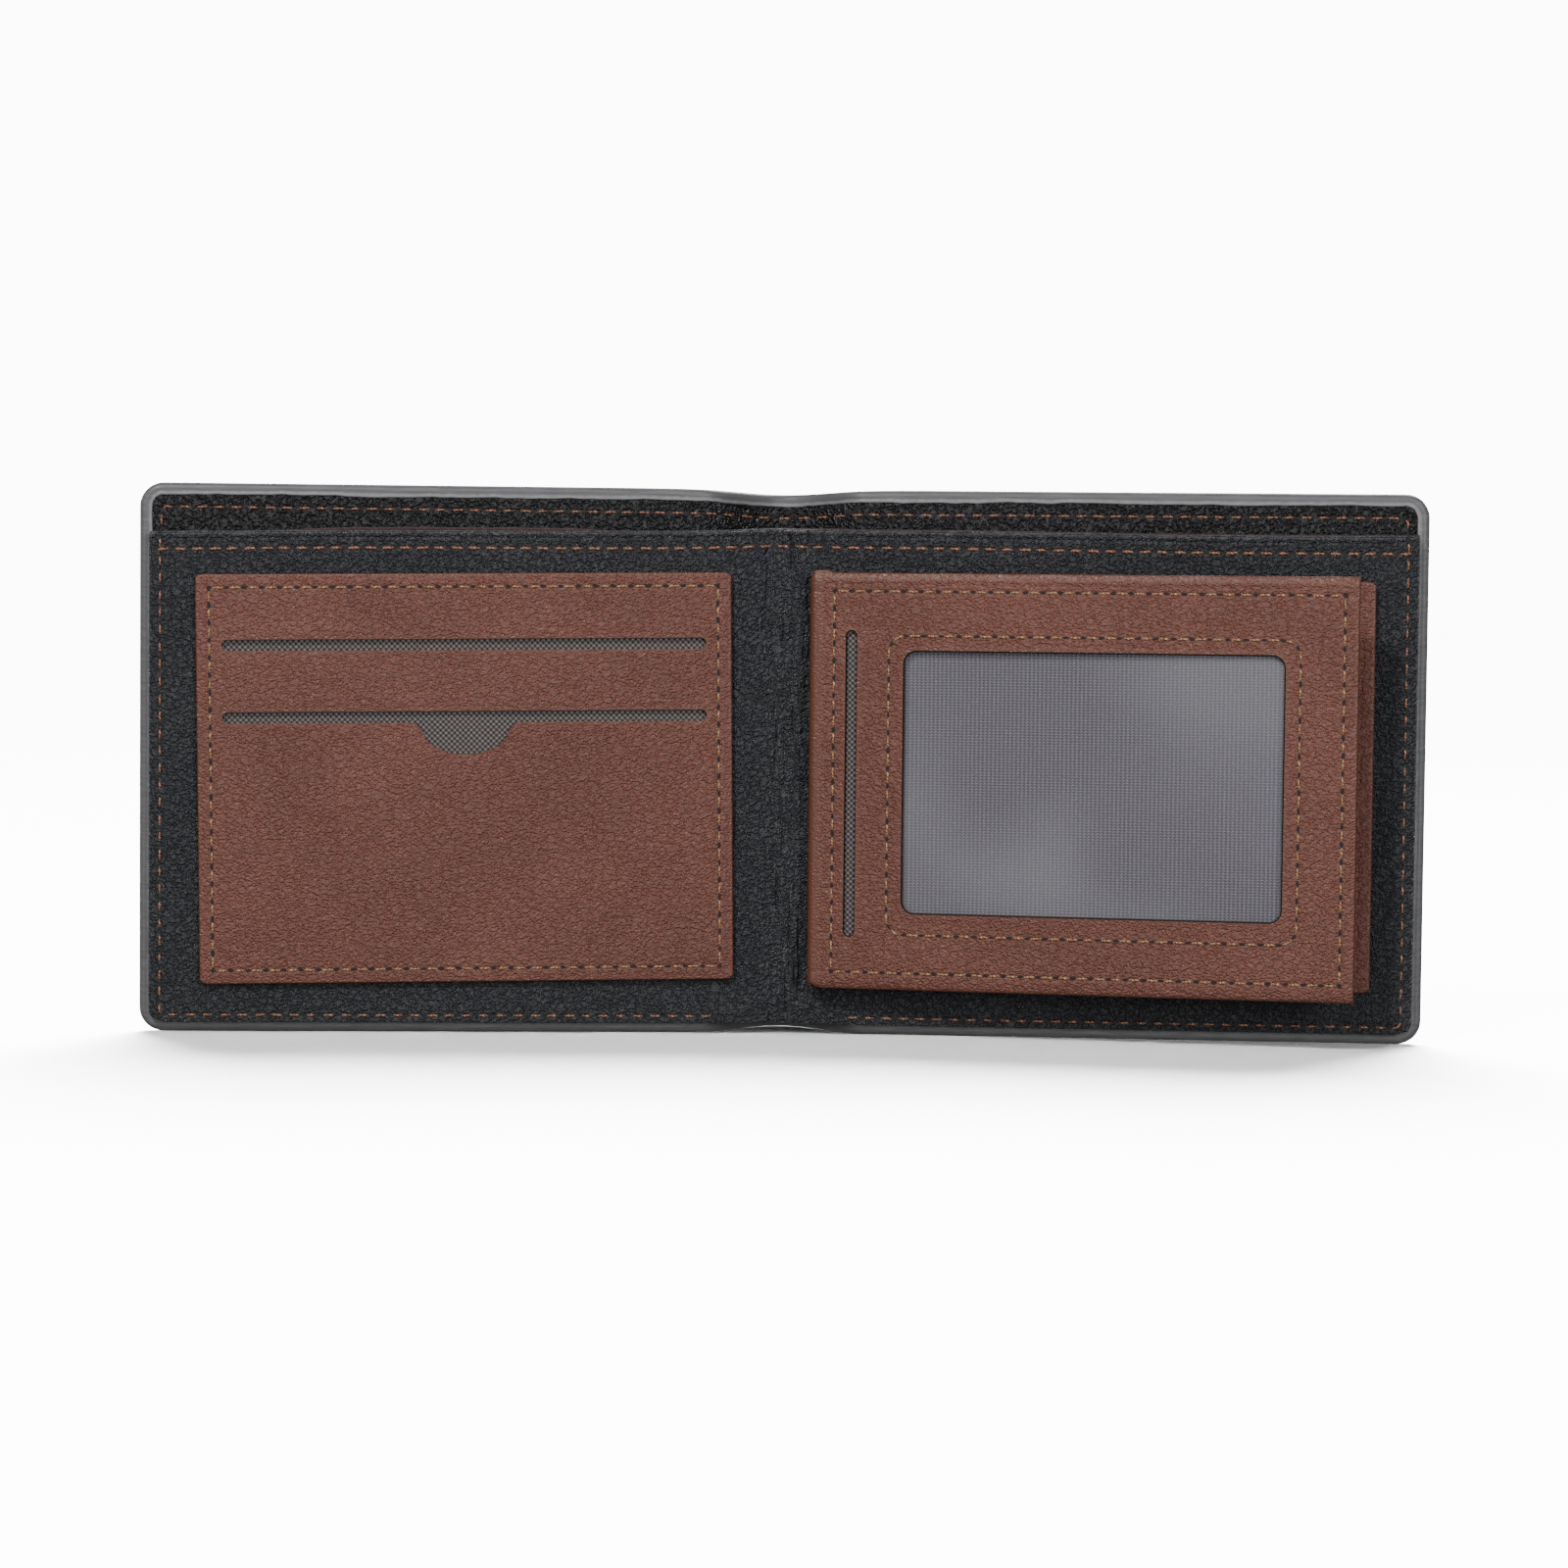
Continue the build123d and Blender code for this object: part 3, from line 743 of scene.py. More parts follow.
def build_thread(name, strand_highlight, strand_shade):
    """Waxed thread of two twisted strands, with painted highlight and painted shade in bands along
    the twist.
    """
    finish = Finish(name, 0.5)
    tree = finish.tree
    twist = tree.nodes.new("ShaderNodeTexWave")
    twist.wave_type = "BANDS"
    twist.bands_direction = "DIAGONAL"
    feed(tree, twist.inputs["Vector"], finish.layout)
    twist.inputs["Scale"].default_value = 0.9
    twist.inputs["Distortion"].default_value = 1.2
    twist.inputs["Detail"].default_value = 2.0
    fibre = finish.mottle(6.0, 3.0, Coarse=0.7, Matt=0.6, Gloss=0.42)
    # Painted light: bands along the twist go from a shade tone to a highlight tone, and random
    # patches drift towards the shade tone.
    colour = mix(tree, twist.outputs["Fac"], strand_shade, strand_highlight)
    colour = mix(tree, maths(tree, "MULTIPLY", fibre["Share"], 0.5), colour, strand_shade)
    finish.set(Base_Color=colour, Roughness=fibre["Roughness"])
    finish.bump(maths(tree, "ADD", twist.outputs["Fac"], fibre["Share"]), 0.05)
    return finish.material


def build_needle_hole_shade():
    """Painted shade: a near-black disc standing for the dark hollow between two stitches."""
    finish = Finish("needle_hole_shade", 0.7)
    blotch = finish.mottle(3.0, 3.0, Tone_A=(0.002, 0.0015, 0.0015, 1),
                           Tone_B=(0.012, 0.008, 0.007, 1))
    finish.set(Base_Color=blotch["Colour"])
    finish.bump(blotch["Share"], 0.05)
    return finish.material


def build_film():
    """Clear vinyl over the window, faintly clouded and rippled."""
    finish = Finish("clear_vinyl", 0.12)
    tree = finish.tree
    cloud = finish.mottle(0.022, 1.5, Coarse=0.45, Warp=0.3, Tone_A=(0.50, 0.485, 0.54, 1),
                          Tone_B=(0.66, 0.64, 0.70, 1))
    scuff = finish.mottle(0.6, 5.0, Coarse=0.7)["Share"]
    alpha = remap(tree, cloud["Share"], 0.35, 0.65, 0.05, 0.12)
    rough = maths(tree, "MULTIPLY_ADD", scuff, 0.12, 0.14)
    finish.set(Base_Color=cloud["Colour"], Roughness=rough, Alpha=alpha)
    finish.bump(cloud["Share"], 0.6, 0.5)
    return finish.material


def build_binding():
    """Thin black edge binding of the window and the slit."""
    finish = Finish("black_binding", 0.45)
    fleck = finish.mottle(2.5, 4.0, Tone_A=(0.004, 0.004, 0.004, 1),
                          Tone_B=(0.02, 0.018, 0.018, 1), Matt=0.55, Gloss=0.4)
    finish.set(Base_Color=fleck["Colour"], Roughness=fleck["Roughness"])
    finish.bump(fleck["Share"], 0.05)
    return finish.material


felt = build_felt()
edge_paint = build_edge_paint()
slot_mesh = build_pocket_weave("slot_mesh", 1.35, 1.35, (0.060, 0.049, 0.047, 1),
                               (0.010, 0.008, 0.008, 1), (0.27, 0.235, 0.22, 1), radians(45))
window_mesh = build_pocket_weave("window_mesh", 1.28, 1.9, (0.070, 0.064, 0.078, 1),
                                 (0.040, 0.036, 0.045, 1), (0.22, 0.205, 0.235, 1))
copper_thread = build_thread("copper_thread", (0.60, 0.27, 0.14, 1), (0.15, 0.058, 0.032, 1))
gold_thread = build_thread("gold_thread", (0.66, 0.40, 0.19, 1), (0.17, 0.085, 0.04, 1))
needle_hole_shade = build_needle_hole_shade()
vinyl = build_film()
binding = build_binding()


# ---------------------------------------------------------------- cover
def whole_columns(end, pitch, fine_pitch, reach):
    """Columns from the left free edge to the right one, closer over the bend."""
    return spread(-end, end, pitch, [(0.0, reach, fine_pitch)])


def corner_rise(along, end, radius):
    """How much a rounded free corner takes off the top or bottom at this place."""
    past = abs(along) - (end - radius)
    return 0.0 if past <= 0 else radius - sqrt(max(radius * radius - past * past, 0.0))


def cover_ply(name, inset, front, back, material, rounding):
    """One ply of the cover over both wings and the spine."""
    end = wing_length - inset
    radius = max(corner - inset, 0.5)
    corners = [end - radius * (1 - cos(radians(a))) for a in range(0, 91, 9)]
    columns = whole_columns(end, 4.0, 0.6, spine_reach)
    columns = sorted(columns + corners[1:] + [-c for c in corners[1:]])
    columns = [c for i, c in enumerate(columns) if i == 0 or c - columns[i - 1] > 0.02]

    def low(along):
        return cover_bottom(along) + inset + corner_rise(along, end, radius)

    def high(along):
        return cover_top(along) - inset - corner_rise(along, end, radius)

    rows = row_plan(height - 2 * inset, 2.5, from_top=(cover_seam_drop - inset,))
    mesh = ply_mesh(columns, rows, low, high, front, back, rounding)
    piece = as_object(name, mesh, place_spine, material,
                      lambda a, u: min(u - low(a), high(a) - u, end - abs(a)))
    return piece


def join_wings(piece, reach, slot_name, *nodes):
    """Bakes a piece's object transform into its mesh and hides the frame nodes named."""
    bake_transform(piece)
    for node in nodes:
        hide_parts(node)


def three(stem, middle="spine"):
    """Names of a layer's nodes on both wings and at the fold."""
    return [f"{stem}_left", f"{stem}_{middle}", f"{stem}_right"]


def outer_face(along, up):
    """Outside of the cover, gently uneven away from its free edges."""
    away = smooth((wing_length - abs(along)) / 6)
    return leather_low[1] + 0.10 * ripple(along, up, 26, 3.1) * away


def seam_groove(distance, depth=0.14, width=0.42):
    """The thread pulls the leather down along a seam."""
    return -depth * exp(-(distance / width) ** 2)


def lining_face(along, up):
    """The cover's lining, drawn down at its seam and slack above the inner panel."""
    seam = cover_top(along) - cover_seam_drop - up
    sag = 0.18 * ripple(along, up, 11, 1.7) if up > panel_top(along) else 0.0
    return lining_high[1] + seam_groove(seam) + sag * smooth(seam / 2.0)


cover = cover_ply("cover_outer_leather", 0.5, lambda a, u: leather_high[1], outer_face,
                  cover_hide, 0.3)
join_wings(cover, spine_reach, "cover_leather", *three("cover_leather"))
felt_ply = cover_ply("cover_board", rim_width, lambda a, u: felt_high[1] - 0.02,
                     lambda a, u: felt_low[1] + 0.02, felt, 0.05)
join_wings(felt_ply, spine_reach, "interlining", *three("cover_interlining"))
lining = cover_ply("cover_grained_lining", rim_width - 0.5, lining_face,
                   lambda a, u: lining_low[1] + 0.02, lining_hide, 0.1)
join_wings(lining, spine_reach, "lining_leather", *three("cover_lining"))


def rim_path():
    """Places round the cover's outline with their inward directions, in flat coordinates."""
    end, turn = wing_length, wing_length - corner
    alongs = whole_columns(turn, 2.0, 0.6, spine_reach)
    ups = steps(corner, height - corner, 2.0)
    straights = {
        -90: [(end, up, -1.0, 0.0) for up in ups],
        0: [(along, cover_top(along), 0.0, -1.0) for along in reversed(alongs)],
        90: [(-end, up, 1.0, 0.0) for up in reversed(ups)],
        180: [],
    }
    places = [(along, cover_bottom(along), 0.0, 1.0) for along in alongs]
    for x, y, start in ((turn, corner, -90), (turn, height - corner, 0),
                        (-turn, height - corner, 90), (-turn, corner, 180)):
        for i in range(1, 12):
            angle = radians(start + 90 * i / 12)
            places.append((x + corner * cos(angle), y + corner * sin(angle),
                           -cos(angle), -sin(angle)))
        places += straights[start]
    return places


def build_rim():
    """The painted edge: two rounded passes of paint with a lip where it meets the lining; each
    point keeps its distance from the lip's crest, where a painted highlight goes.
    """
    front = lining_high[1]
    back = leather_low[1]
    section = [
        (2.35, front - 0.45), (2.32, front + 0.02), (2.24, front + 0.15), (2.08, front + 0.22),
        (1.88, front + 0.20), (1.66, front + 0.11), (1.46, front + 0.08), (1.24, front + 0.12),
        (0.98, front + 0.13), (0.70, front + 0.06), (0.42, front - 0.12), (0.18, front - 0.42),
        (0.03, front - 0.85), (0.0, front - 1.15), (0.06, front - 1.5), (0.2, back + 0.12),
        (0.42, back + 0.0), (0.62, back + 0.06), (0.72, back + 0.35),
    ]
    mesh = bmesh.new()
    lip_highlight_distance = mesh.verts.layers.float.new("lip")
    loops = []
    for along, up, inward_x, inward_y in rim_path():
        ragged = 0.16 * ripple(along, up, 1.6, 5.0) + 0.12 * ripple(along, up, 7.0, 8.0)
        swell = 1 + 0.10 * ripple(along, up, 9.0, 2.0)
        loop = []
        for index, (inset, level) in enumerate(section):
            inner = smooth((inset - 0.9) / 1.2)
            inset = inset * swell + ragged * inner if inset > 0.3 else inset
            vert = mesh.verts.new((along + inward_x * inset, level, up + inward_y * inset))
            # Distance from the lip's crest (point 3), which the edge paint turns into a painted
            # highlight.
            vert[lip_highlight_distance] = abs(index - 3) * 0.15 if index < 7 else 0.9
            loop.append(vert)
        loops.append(loop)
    skin(mesh, loops)
    return mesh


rim_piece = as_object("painted_rim", build_rim(), place_spine, edge_paint)
# The lip distances replace the edge distances, so the painted highlight follows the lip's crest.
lip_highlight_values = [d.value for d in rim_piece.data.attributes["lip"].data]
rim_piece.data.attributes["edge_distance"].data.foreach_set("value", lip_highlight_values)
join_wings(rim_piece, spine_reach, "edge_paint", *three("cover_edge"))


# ---------------------------------------------------------------- inner panel and bill lining
def fold_wrinkles(along, up):
    """Fine creases of the inner panel where it bends, fanning out towards the top."""
    fan = 1 + 0.55 * smooth((up - 55) / 35)
    x = (along - 1.6) / fan
    spread_here = 4.4 + 1.5 * smooth((up - 70) / 25)
    strength = exp(-(x / spread_here) ** 4)
    depth = 0.0
    for pitch, weight, seed in ((1.9, 0.50, 4.0), (1.2, 0.36, 9.0), (0.9, 0.22, 15.0)):
        wander = 1.1 * noise.noise(Vector((seed, up / 11, x / 5)))
        line = noise.noise(Vector(((x + wander) / pitch, up / 19, seed)))
        depth += weight * exp(-(line / 0.11) ** 2)
        depth -= weight * 0.35 * line
    return -strength * depth


def panel_face(along, up):
    """Front of the inner panel: beaded top edge, hem, seams and fold wrinkles."""
    top = panel_top(along)
    drop = top - up
    bead = 0.16 * bump_at(drop, 0.55, 0.36) - 0.16 * bump_at(drop, 1.05, 0.22)
    bead += 0.07 * bump_at(drop, 1.5, 0.35)
    hem = seam_groove(drop - hem_seam_drop)
    level = panel_high[1] + bead + hem + fold_wrinkles(along, up)
    side = wing_length - cover_seam_side - abs(along)
    if drop > 0:
        level += seam_groove(side)
        if abs(along) > seam_break:
            level += seam_groove(up - cover_seam_rise)
    level += 0.05 * ripple(along, up, 14, 2.2)
    edge = smooth((wing_length - rim_width - abs(along)) / 2.0)
    return level * edge + (1 - edge) * min(level, lining_high[1] + 2.3)


def inner_ply(name, rise, front, back, material, rounding):
    """A ply that runs over both wings behind or at the inner panel's face."""
    inset = rim_width - 0.2
    end = wing_length - inset
    radius = max(corner - inset, 0.6)
    columns = whole_columns(end, 3.0, 0.22, 8.0)

    def low(along):
        return cover_bottom(along) + inset + corner_rise(along, end, radius)

    def high(along):
        return panel_top(along) + rise(along)

    rows = row_plan(92.8, 2.2, from_bottom=(1.2,), from_top=(0.9, hem_seam_drop))
    mesh = ply_mesh(columns, rows, low, high, front, back, rounding)
    return as_object(name, mesh, place_panel, material,
                     lambda a, u: min(high(a) - u, end - abs(a)))


inner_panel = inner_ply("inner_panel", lambda a: 0.0, panel_face,
                        lambda a, u: panel_low[1] + 0.02, panel_hide, 0.35)
join_wings(inner_panel, panel_reach, "panel_leather", *three("inner_panel", "fold"))


def hem_rise(along):
    """The turned hem shows a little above the panel."""
    return 0.32 + 0.12 * ripple(along, 0, 13, 6.0)


def bill_rise(along):
    """The bill lining shows above the hem, most on the left wing's middle."""
    left = 0.75 * smooth((along + 106) / 30) * smooth((-18 - along) / 30)
    right = 0.38 * smooth((along + 12) / 18)
    return 0.15 + left + right + 0.14 * ripple(along, 0, 6, 9.0)


hem = inner_ply("turned_hem", hem_rise, lambda a, u: hem_high[1] - 0.02,
                lambda a, u: hem_low[1] + 0.02, panel_hide, 0.3)
join_wings(hem, panel_reach, "panel_leather", *three("inner_hem", "fold"),
           "inner_backing_left", "inner_backing_right")
bill = inner_ply("bill_compartment_lining", bill_rise, lambda a, u: bill_high[1] - 0.02,
                 lambda a, u: bill_low[1] + 0.02, bill_hide, 0.15)
join_wings(bill, panel_reach, "bill_lining", *three("bill_lining", "fold"))


# ---------------------------------------------------------------- stitches
def run_points(points, closed=False):
    """A walk along straight runs that returns a place and direction at any distance."""
    pairs = list(zip(points, points[1:] + (points[:1] if closed else [])))
    if not closed:
        pairs = pairs[:len(points) - 1]
    lengths = [hypot(b[0] - a[0], b[1] - a[1]) for a, b in pairs]
    total = sum(lengths)

    def at(distance):
        distance = distance % total if closed else min(max(distance, 0.0), total)
        for (a, b), length in zip(pairs, lengths):
            if distance <= length or (a, b) == pairs[-1]:
                share = distance / length if length else 0.0
                return (a[0] + (b[0] - a[0]) * share, a[1] + (b[1] - a[1]) * share,
                        (b[0] - a[0]) / length, (b[1] - a[1]) / length)
            distance -= length
        return (*pairs[-1][1], 1.0, 0.0)
    return total, at


stitch_rings, stitch_sides, hole_sides = 9, 8, 10
stitch_slant = 0.05
copper_stitch = {"thread": copper_thread, "thick": 0.34, "visible": 0.66}
side_stitch = {"thread": copper_thread, "thick": 0.36, "visible": 0.62}
hem_stitch = {"thread": copper_thread, "thick": 0.46, "visible": 0.70, "lift": 0.24}
gold_stitch = {"thread": gold_thread, "thick": 0.38, "visible": 0.66, "pitch": 3.3,
               "lift": 0.15, "hole": 1.5}


def straight_runs(corners):
    """One open run for each side of a sewn rectangle."""
    return [([p, q], False) for p, q in zip(corners, corners[1:] + corners[:1])]


def stitch_loop(mesh, at, start, length, thick, lift, level_at, tilt, twist):
    """The rings of points of one stitch, which dives into the leather at both ends."""
    loops = []
    for ring in range(stitch_rings + 1):
        share = ring / stitch_rings
        along, up, dx, dy = at(start + length * share)
        along += -dy * tilt * (share - 0.5) * 2
        up += dx * tilt * (share - 0.5) * 2
        hump = sin(pi * share)
        rise = lift * hump ** 0.6 - 0.16 * (1 - hump)
        fat = thick / 2 * (0.45 + 0.55 * hump ** 0.5)
        middle = level_at(along, up) + rise
        loop = []
        for side in range(stitch_sides):
            angle = 2 * pi * side / stitch_sides
            lobes = 1 + 0.26 * cos(2 * (angle - twist - share * length * 2.6))
            across, out = fat * lobes * cos(angle), fat * lobes * sin(angle) * 0.8
            loop.append(mesh.verts.new((along - dy * across, middle + out, up + dx * across)))
        loops.append(loop)
    return loops


def sew(name, runs, level_at, place, thread, thick, visible, pitch=3.2, lift=0.20, hole=1.15):
    """Single stitches of twisted thread along each run, and near-black discs of painted shade for
    the dark hollows between them.
    """
    threads, hole_shade_discs = bmesh.new(), bmesh.new()
    for points, closed in runs:
        total, at = run_points(points, closed)
        count = max(1, round(total / pitch))
        gap = total / count
        for index in range(count):
            start = index * gap + gap * (1 - visible) / 2 + 0.12 * (random.random() - 0.5)
            length = gap * visible * (0.94 + 0.12 * random.random())
            tilt = stitch_slant * thick * (random.random() * 2 - 1) * 3
            twist = random.random() * pi
            loops = stitch_loop(threads, at, start, length, thick, lift, level_at, tilt, twist)
            skin(threads, loops, closed=False)
            threads.faces.new(loops[0][::-1])
            threads.faces.new(loops[-1])
        for index in range(count + (0 if closed else 1)):
            along, up, dx, dy = at(index * gap)
            reach = gap * (1 - visible) * (0.62 + 0.2 * random.random())
            wide = thick * (0.62 + 0.2 * random.random()) * hole
            level = level_at(along, up)
            # A low near-black disc: painted shade of the needle hole.
            centre = hole_shade_discs.verts.new((along, level + 0.035, up))
            rim = []
            for i in range(hole_sides):
                angle = 2 * pi * i / hole_sides
                a, c = reach * cos(angle), wide * sin(angle)
                x, y = along + dx * a - dy * c, up + dy * a + dx * c
                rim.append(hole_shade_discs.verts.new((x, level_at(x, y) - 0.015, y)))
            under = hole_shade_discs.verts.new((along, level - 0.1, up))
            for i in range(hole_sides):
                j = (i + 1) % hole_sides
                hole_shade_discs.faces.new((centre, rim[i], rim[j]))
                hole_shade_discs.faces.new((under, rim[j], rim[i]))
    thread_piece = as_object(name, threads, place, thread)
    hole_shade_piece = as_object(name + "_needle_hole_shade_discs", hole_shade_discs, place, needle_hole_shade)
    return thread_piece, hole_shade_piece


def drop_from(top, drop, alongs):
    """Points of a run that stays this far below an edge."""
    return [(along, top(along) - drop) for along in alongs]


seam_side = wing_length - cover_seam_side
for side, sign in (("right", 1), ("left", -1)):
    body = f"{side}_wing"
    meet = panel_top(sign * seam_side)
    upper = [(sign * spine_reach, cover_top(sign * spine_reach) - cover_seam_drop),
             (sign * (seam_side - 0.8), height - cover_seam_drop),
             (sign * seam_side, height - (cover_seam_drop + 0.8)), (sign * seam_side, meet + 0.9)]
    lower = [(sign * seam_side, meet - 0.3), (sign * seam_side, cover_seam_rise + 0.7),
             (sign * (seam_side - 0.7), cover_seam_rise), (sign * seam_break, cover_seam_rise)]
    top = sew(f"cover_top_stitches_{side}", [(upper, False)], lining_face, place_spine,
              **copper_stitch)
    fasten(top, body, "copper_thread")
    round_side = sew(f"cover_side_stitches_{side}", [(lower, False)], panel_face, place_panel,
                     **side_stitch)
    fasten(round_side, body, "copper_thread", f"cover_thread_{side}")
    hem_run = drop_from(panel_top, hem_seam_drop, [sign * a for a in [hem_fold_reach] + steps(
        12.0, wing_length - 3.0, 8.0)])
    hem_sewn = sew(f"hem_stitches_{side}", [(hem_run, False)], panel_face, place_panel,
                   **hem_stitch)
    fasten(hem_sewn, body, "copper_thread", f"hem_thread_{side}")

spine_run = drop_from(cover_top, cover_seam_drop, steps(-spine_reach, spine_reach, 1.5))
spine_sewn = sew("cover_top_stitches_spine", [(spine_run, False)], lining_face, place_spine,
                 **copper_stitch)
fold_run = drop_from(panel_top, hem_seam_drop, steps(-hem_fold_reach, hem_fold_reach, 1.6))
fold_sewn = sew("hem_stitches_fold", [(fold_run, False)], panel_face, place_panel, **hem_stitch)
for pieces, reach, node in ((spine_sewn, spine_reach, "cover_thread_spine"),
                            (fold_sewn, panel_reach, "hem_thread_fold")):
    for piece in pieces:
        join_wings(piece, reach, "copper_thread")
    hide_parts(node)


# ---------------------------------------------------------------- card panels
card_wide = card_high[0] - card_low[0]
card_tall = card_high[2] - card_low[2]
slot_long = card_wide - 2 * slot_margin


def card_frame_left():
    """Lower corner and directions of the left card panel, tilted on its wing."""
    middle_x = (left_low[0] + left_high[0]) / 2
    middle_y = (left_low[2] + left_high[2]) / 2

    def place(a, level, b):
        x, y = a - card_wide / 2, b - card_tall / 2
        along = middle_x - (x * cos(left_tilt) + y * sin(left_tilt))
        up = middle_y - x * sin(left_tilt) + y * cos(left_tilt)
        return place_panel(along, level, up)
    return place


def card_frame_right():
    """The right card panel stands square on its wing."""
    def place(a, level, b):
        return place_panel(card_low[0] + a, level, card_low[2] + b)
    return place


def card_surface(a, b):
    """Front of a card panel: slightly pillowed, drawn down at its seam and beside its slots."""
    inset = min(a, card_wide - a, b, card_tall - b)
    level = card_high[1] + seam_groove(inset - card_seam, 0.10, 0.40)
    level -= 0.16 * exp(-(inset / 0.9) ** 2)
    for drop in slot_drops:
        away = b - (card_tall - drop)
        inside = smooth((a - 3) / 3) * smooth((card_wide - 3 - a) / 3)
        level += 0.10 * inside * exp(-((away - 2.2) / 1.6) ** 2)
        level -= 0.10 * inside * exp(-(away / 1.6) ** 2)
    return level + 0.035 * ripple(a, b, 17, 4.4)


def notch_points():
    """Thumb notch in the lower slot's lower lip, with soft shoulders."""
    lip = card_tall - slot_drops[1] - slot_wide / 2
    wide, deep, soft = 17.0, 6.1, 1.5
    points = []
    middle = card_wide / 2
    for i in range(25):
        share = i / 24
        x = middle + (share - 0.5) * (wide + 2 * soft)
        near = abs(x - middle)
        round_part = deep * sqrt(max(1 - (near / (wide / 2)) ** 2.2, 0.0))
        shoulder = 0.5 * soft * exp(-((near - wide / 2) / (soft * 0.6)) ** 2)
        points.append((x, lip - max(round_part, shoulder * (near > wide / 2 - 0.4))))
    return points


def notched_slot():
    """Outline of the lower slot together with its thumb notch."""
    middle = card_wide / 2
    up = card_tall - slot_drops[1]
    base = slot_outline(middle, up, slot_long, slot_wide)
    low_side = [p for p in base if p[1] < up - 1e-6]
    left_side = [p for p in low_side if p[0] < middle]
    right_side = [p for p in low_side if p[0] >= middle]
    high_side = [p for p in base if p[1] >= up - 1e-6]
    right_side.sort(key=lambda p: p[0])
    left_side.sort(key=lambda p: p[0])
    high_side.sort(key=lambda p: -p[0])
    return left_side + notch_points() + right_side + high_side


def card_border(a, b):
    """Distance to the nearest cut edge of a card panel."""
    best = min(a, card_wide - a, b, card_tall - b)
    for drop in slot_drops:
        over = max(abs(a - card_wide / 2) - (slot_long - slot_wide) / 2, 0.0)
        best = min(best, max(hypot(over, b - (card_tall - drop)) - slot_wide / 2, 0.0))
    return best


def build_card_panel(side, place):
    """A card panel with two slots, its two pocket meshes and its stitches."""
    def by_seams(size):
        return [(card_seam, 0.9, 0.2), (size - card_seam, 0.9, 0.2)]

    slot_rows = [(card_tall - d, 2.6, 0.3) for d in slot_drops]
    columns = spread(0.0, card_wide, 2.5, by_seams(card_wide))
    rows = even_rows(card_tall, 2.5, by_seams(card_tall) + slot_rows)
    radius = 1.3

    def rise(a):
        past = max(radius - a, a - (card_wide - radius), 0.0)
        return radius - sqrt(max(radius * radius - past * past, 0.0))

    mesh = ply_mesh(columns, rows, rise, lambda a: card_tall - rise(a), card_surface,
                    lambda a, b: card_low[1] + 0.02, 0.32)
    upper = slot_outline(card_wide / 2, card_tall - slot_drops[0], slot_long, slot_wide)
    mesh = cut(mesh, [upper, notched_slot()])
    panel = as_object(f"card_panel_leather_{side}", mesh, place, brown_hide, card_border)
    fasten([panel], f"{side}_wing", "brown_leather", f"card_panel_{side}")
    right_seam = card_wide - (covered_card_seam if side == "right" else card_seam)
    top_seam = card_tall - card_seam
    around = [(card_seam, card_seam), (right_seam, card_seam), (right_seam, top_seam),
              (card_seam, top_seam)]
    sewn = sew(f"card_panel_stitches_{side}", straight_runs(around), card_surface, place,
               **gold_stitch)
    fasten(sewn, f"{side}_wing", "gold_thread", f"card_panel_thread_{side}")
    for index, (title, drop) in enumerate(zip(("upper", "lower"), slot_drops)):
        node = f"{title}_pocket_mesh_{side}"
        if side == "right":
            low, high = extent(node)
            left, right = low[0] - card_low[0], high[0] - card_low[0]
        else:
            left, right = mesh_margin, card_wide - mesh_margin
        top = card_tall - drop + mesh_tuck
        level = 0.27 - 0.25 * index

        def front(a, b, drop=drop, level=level):
            return level + 0.16 + 0.05 * ripple(a, b, 8, 3.3)

        tall = top - mesh_margin
        mesh = ply_mesh(spread(left, right, 2.5), even_rows(tall, 2.5),
                        lambda a: mesh_margin, lambda a, top=top: top, front,
                        lambda a, b, level=level: level + 0.02, 0.05)
        cloth = as_object(f"{title}_slot_mesh_{side}", mesh, place, slot_mesh)
        fasten([cloth], f"{side}_wing", "pocket_mesh", node)


build_card_panel("right", card_frame_right())
build_card_panel("left", card_frame_left())


# ---------------------------------------------------------------- window flap
flap_left = hinge_axis.x - fold_axis.x
flap_right, flap_base, flap_top = flap_high[0], flap_low[2], flap_high[2]
flap_face = flap_high[1]
flap_thick = flap_face - back_low[1]
roll_radius = flap_thick / 2
flap_tall = flap_top - flap_base
bend_radius = roll_radius - flap_leather / 2
roll_long = pi * bend_radius
window = (flap_left - roll_edge + 17.9, flap_base + 14.3, flap_right - 13.2, flap_top - 14.4)
slit_along = flap_left - roll_edge + 8.1
slit_border = (9.8, 10.7)      # bottom and top of the flap to the slit
slit_long = flap_tall - slit_border[0] - slit_border[1]
slit_middle = flap_base + slit_border[0] + slit_long / 2


window_outline = rounded_outline(*window, window_corner)
slit_outline = slot_outline(slit_along, slit_middle, slit_long, slit_wide, upright=True)


def place_rolled(along, level, up):
    """Front leather of the flap: flat to the right of the hinge, then rolled round to the back."""
    if along >= flap_left:
        return place_flap(along, level, up)
    inner = flap_face - level
    angle = (flap_left - along) / bend_radius
    radius = roll_radius - inner
    middle = flap_face - roll_radius
    return place_flap(flap_left - radius * sin(angle), middle + radius * cos(angle), up)


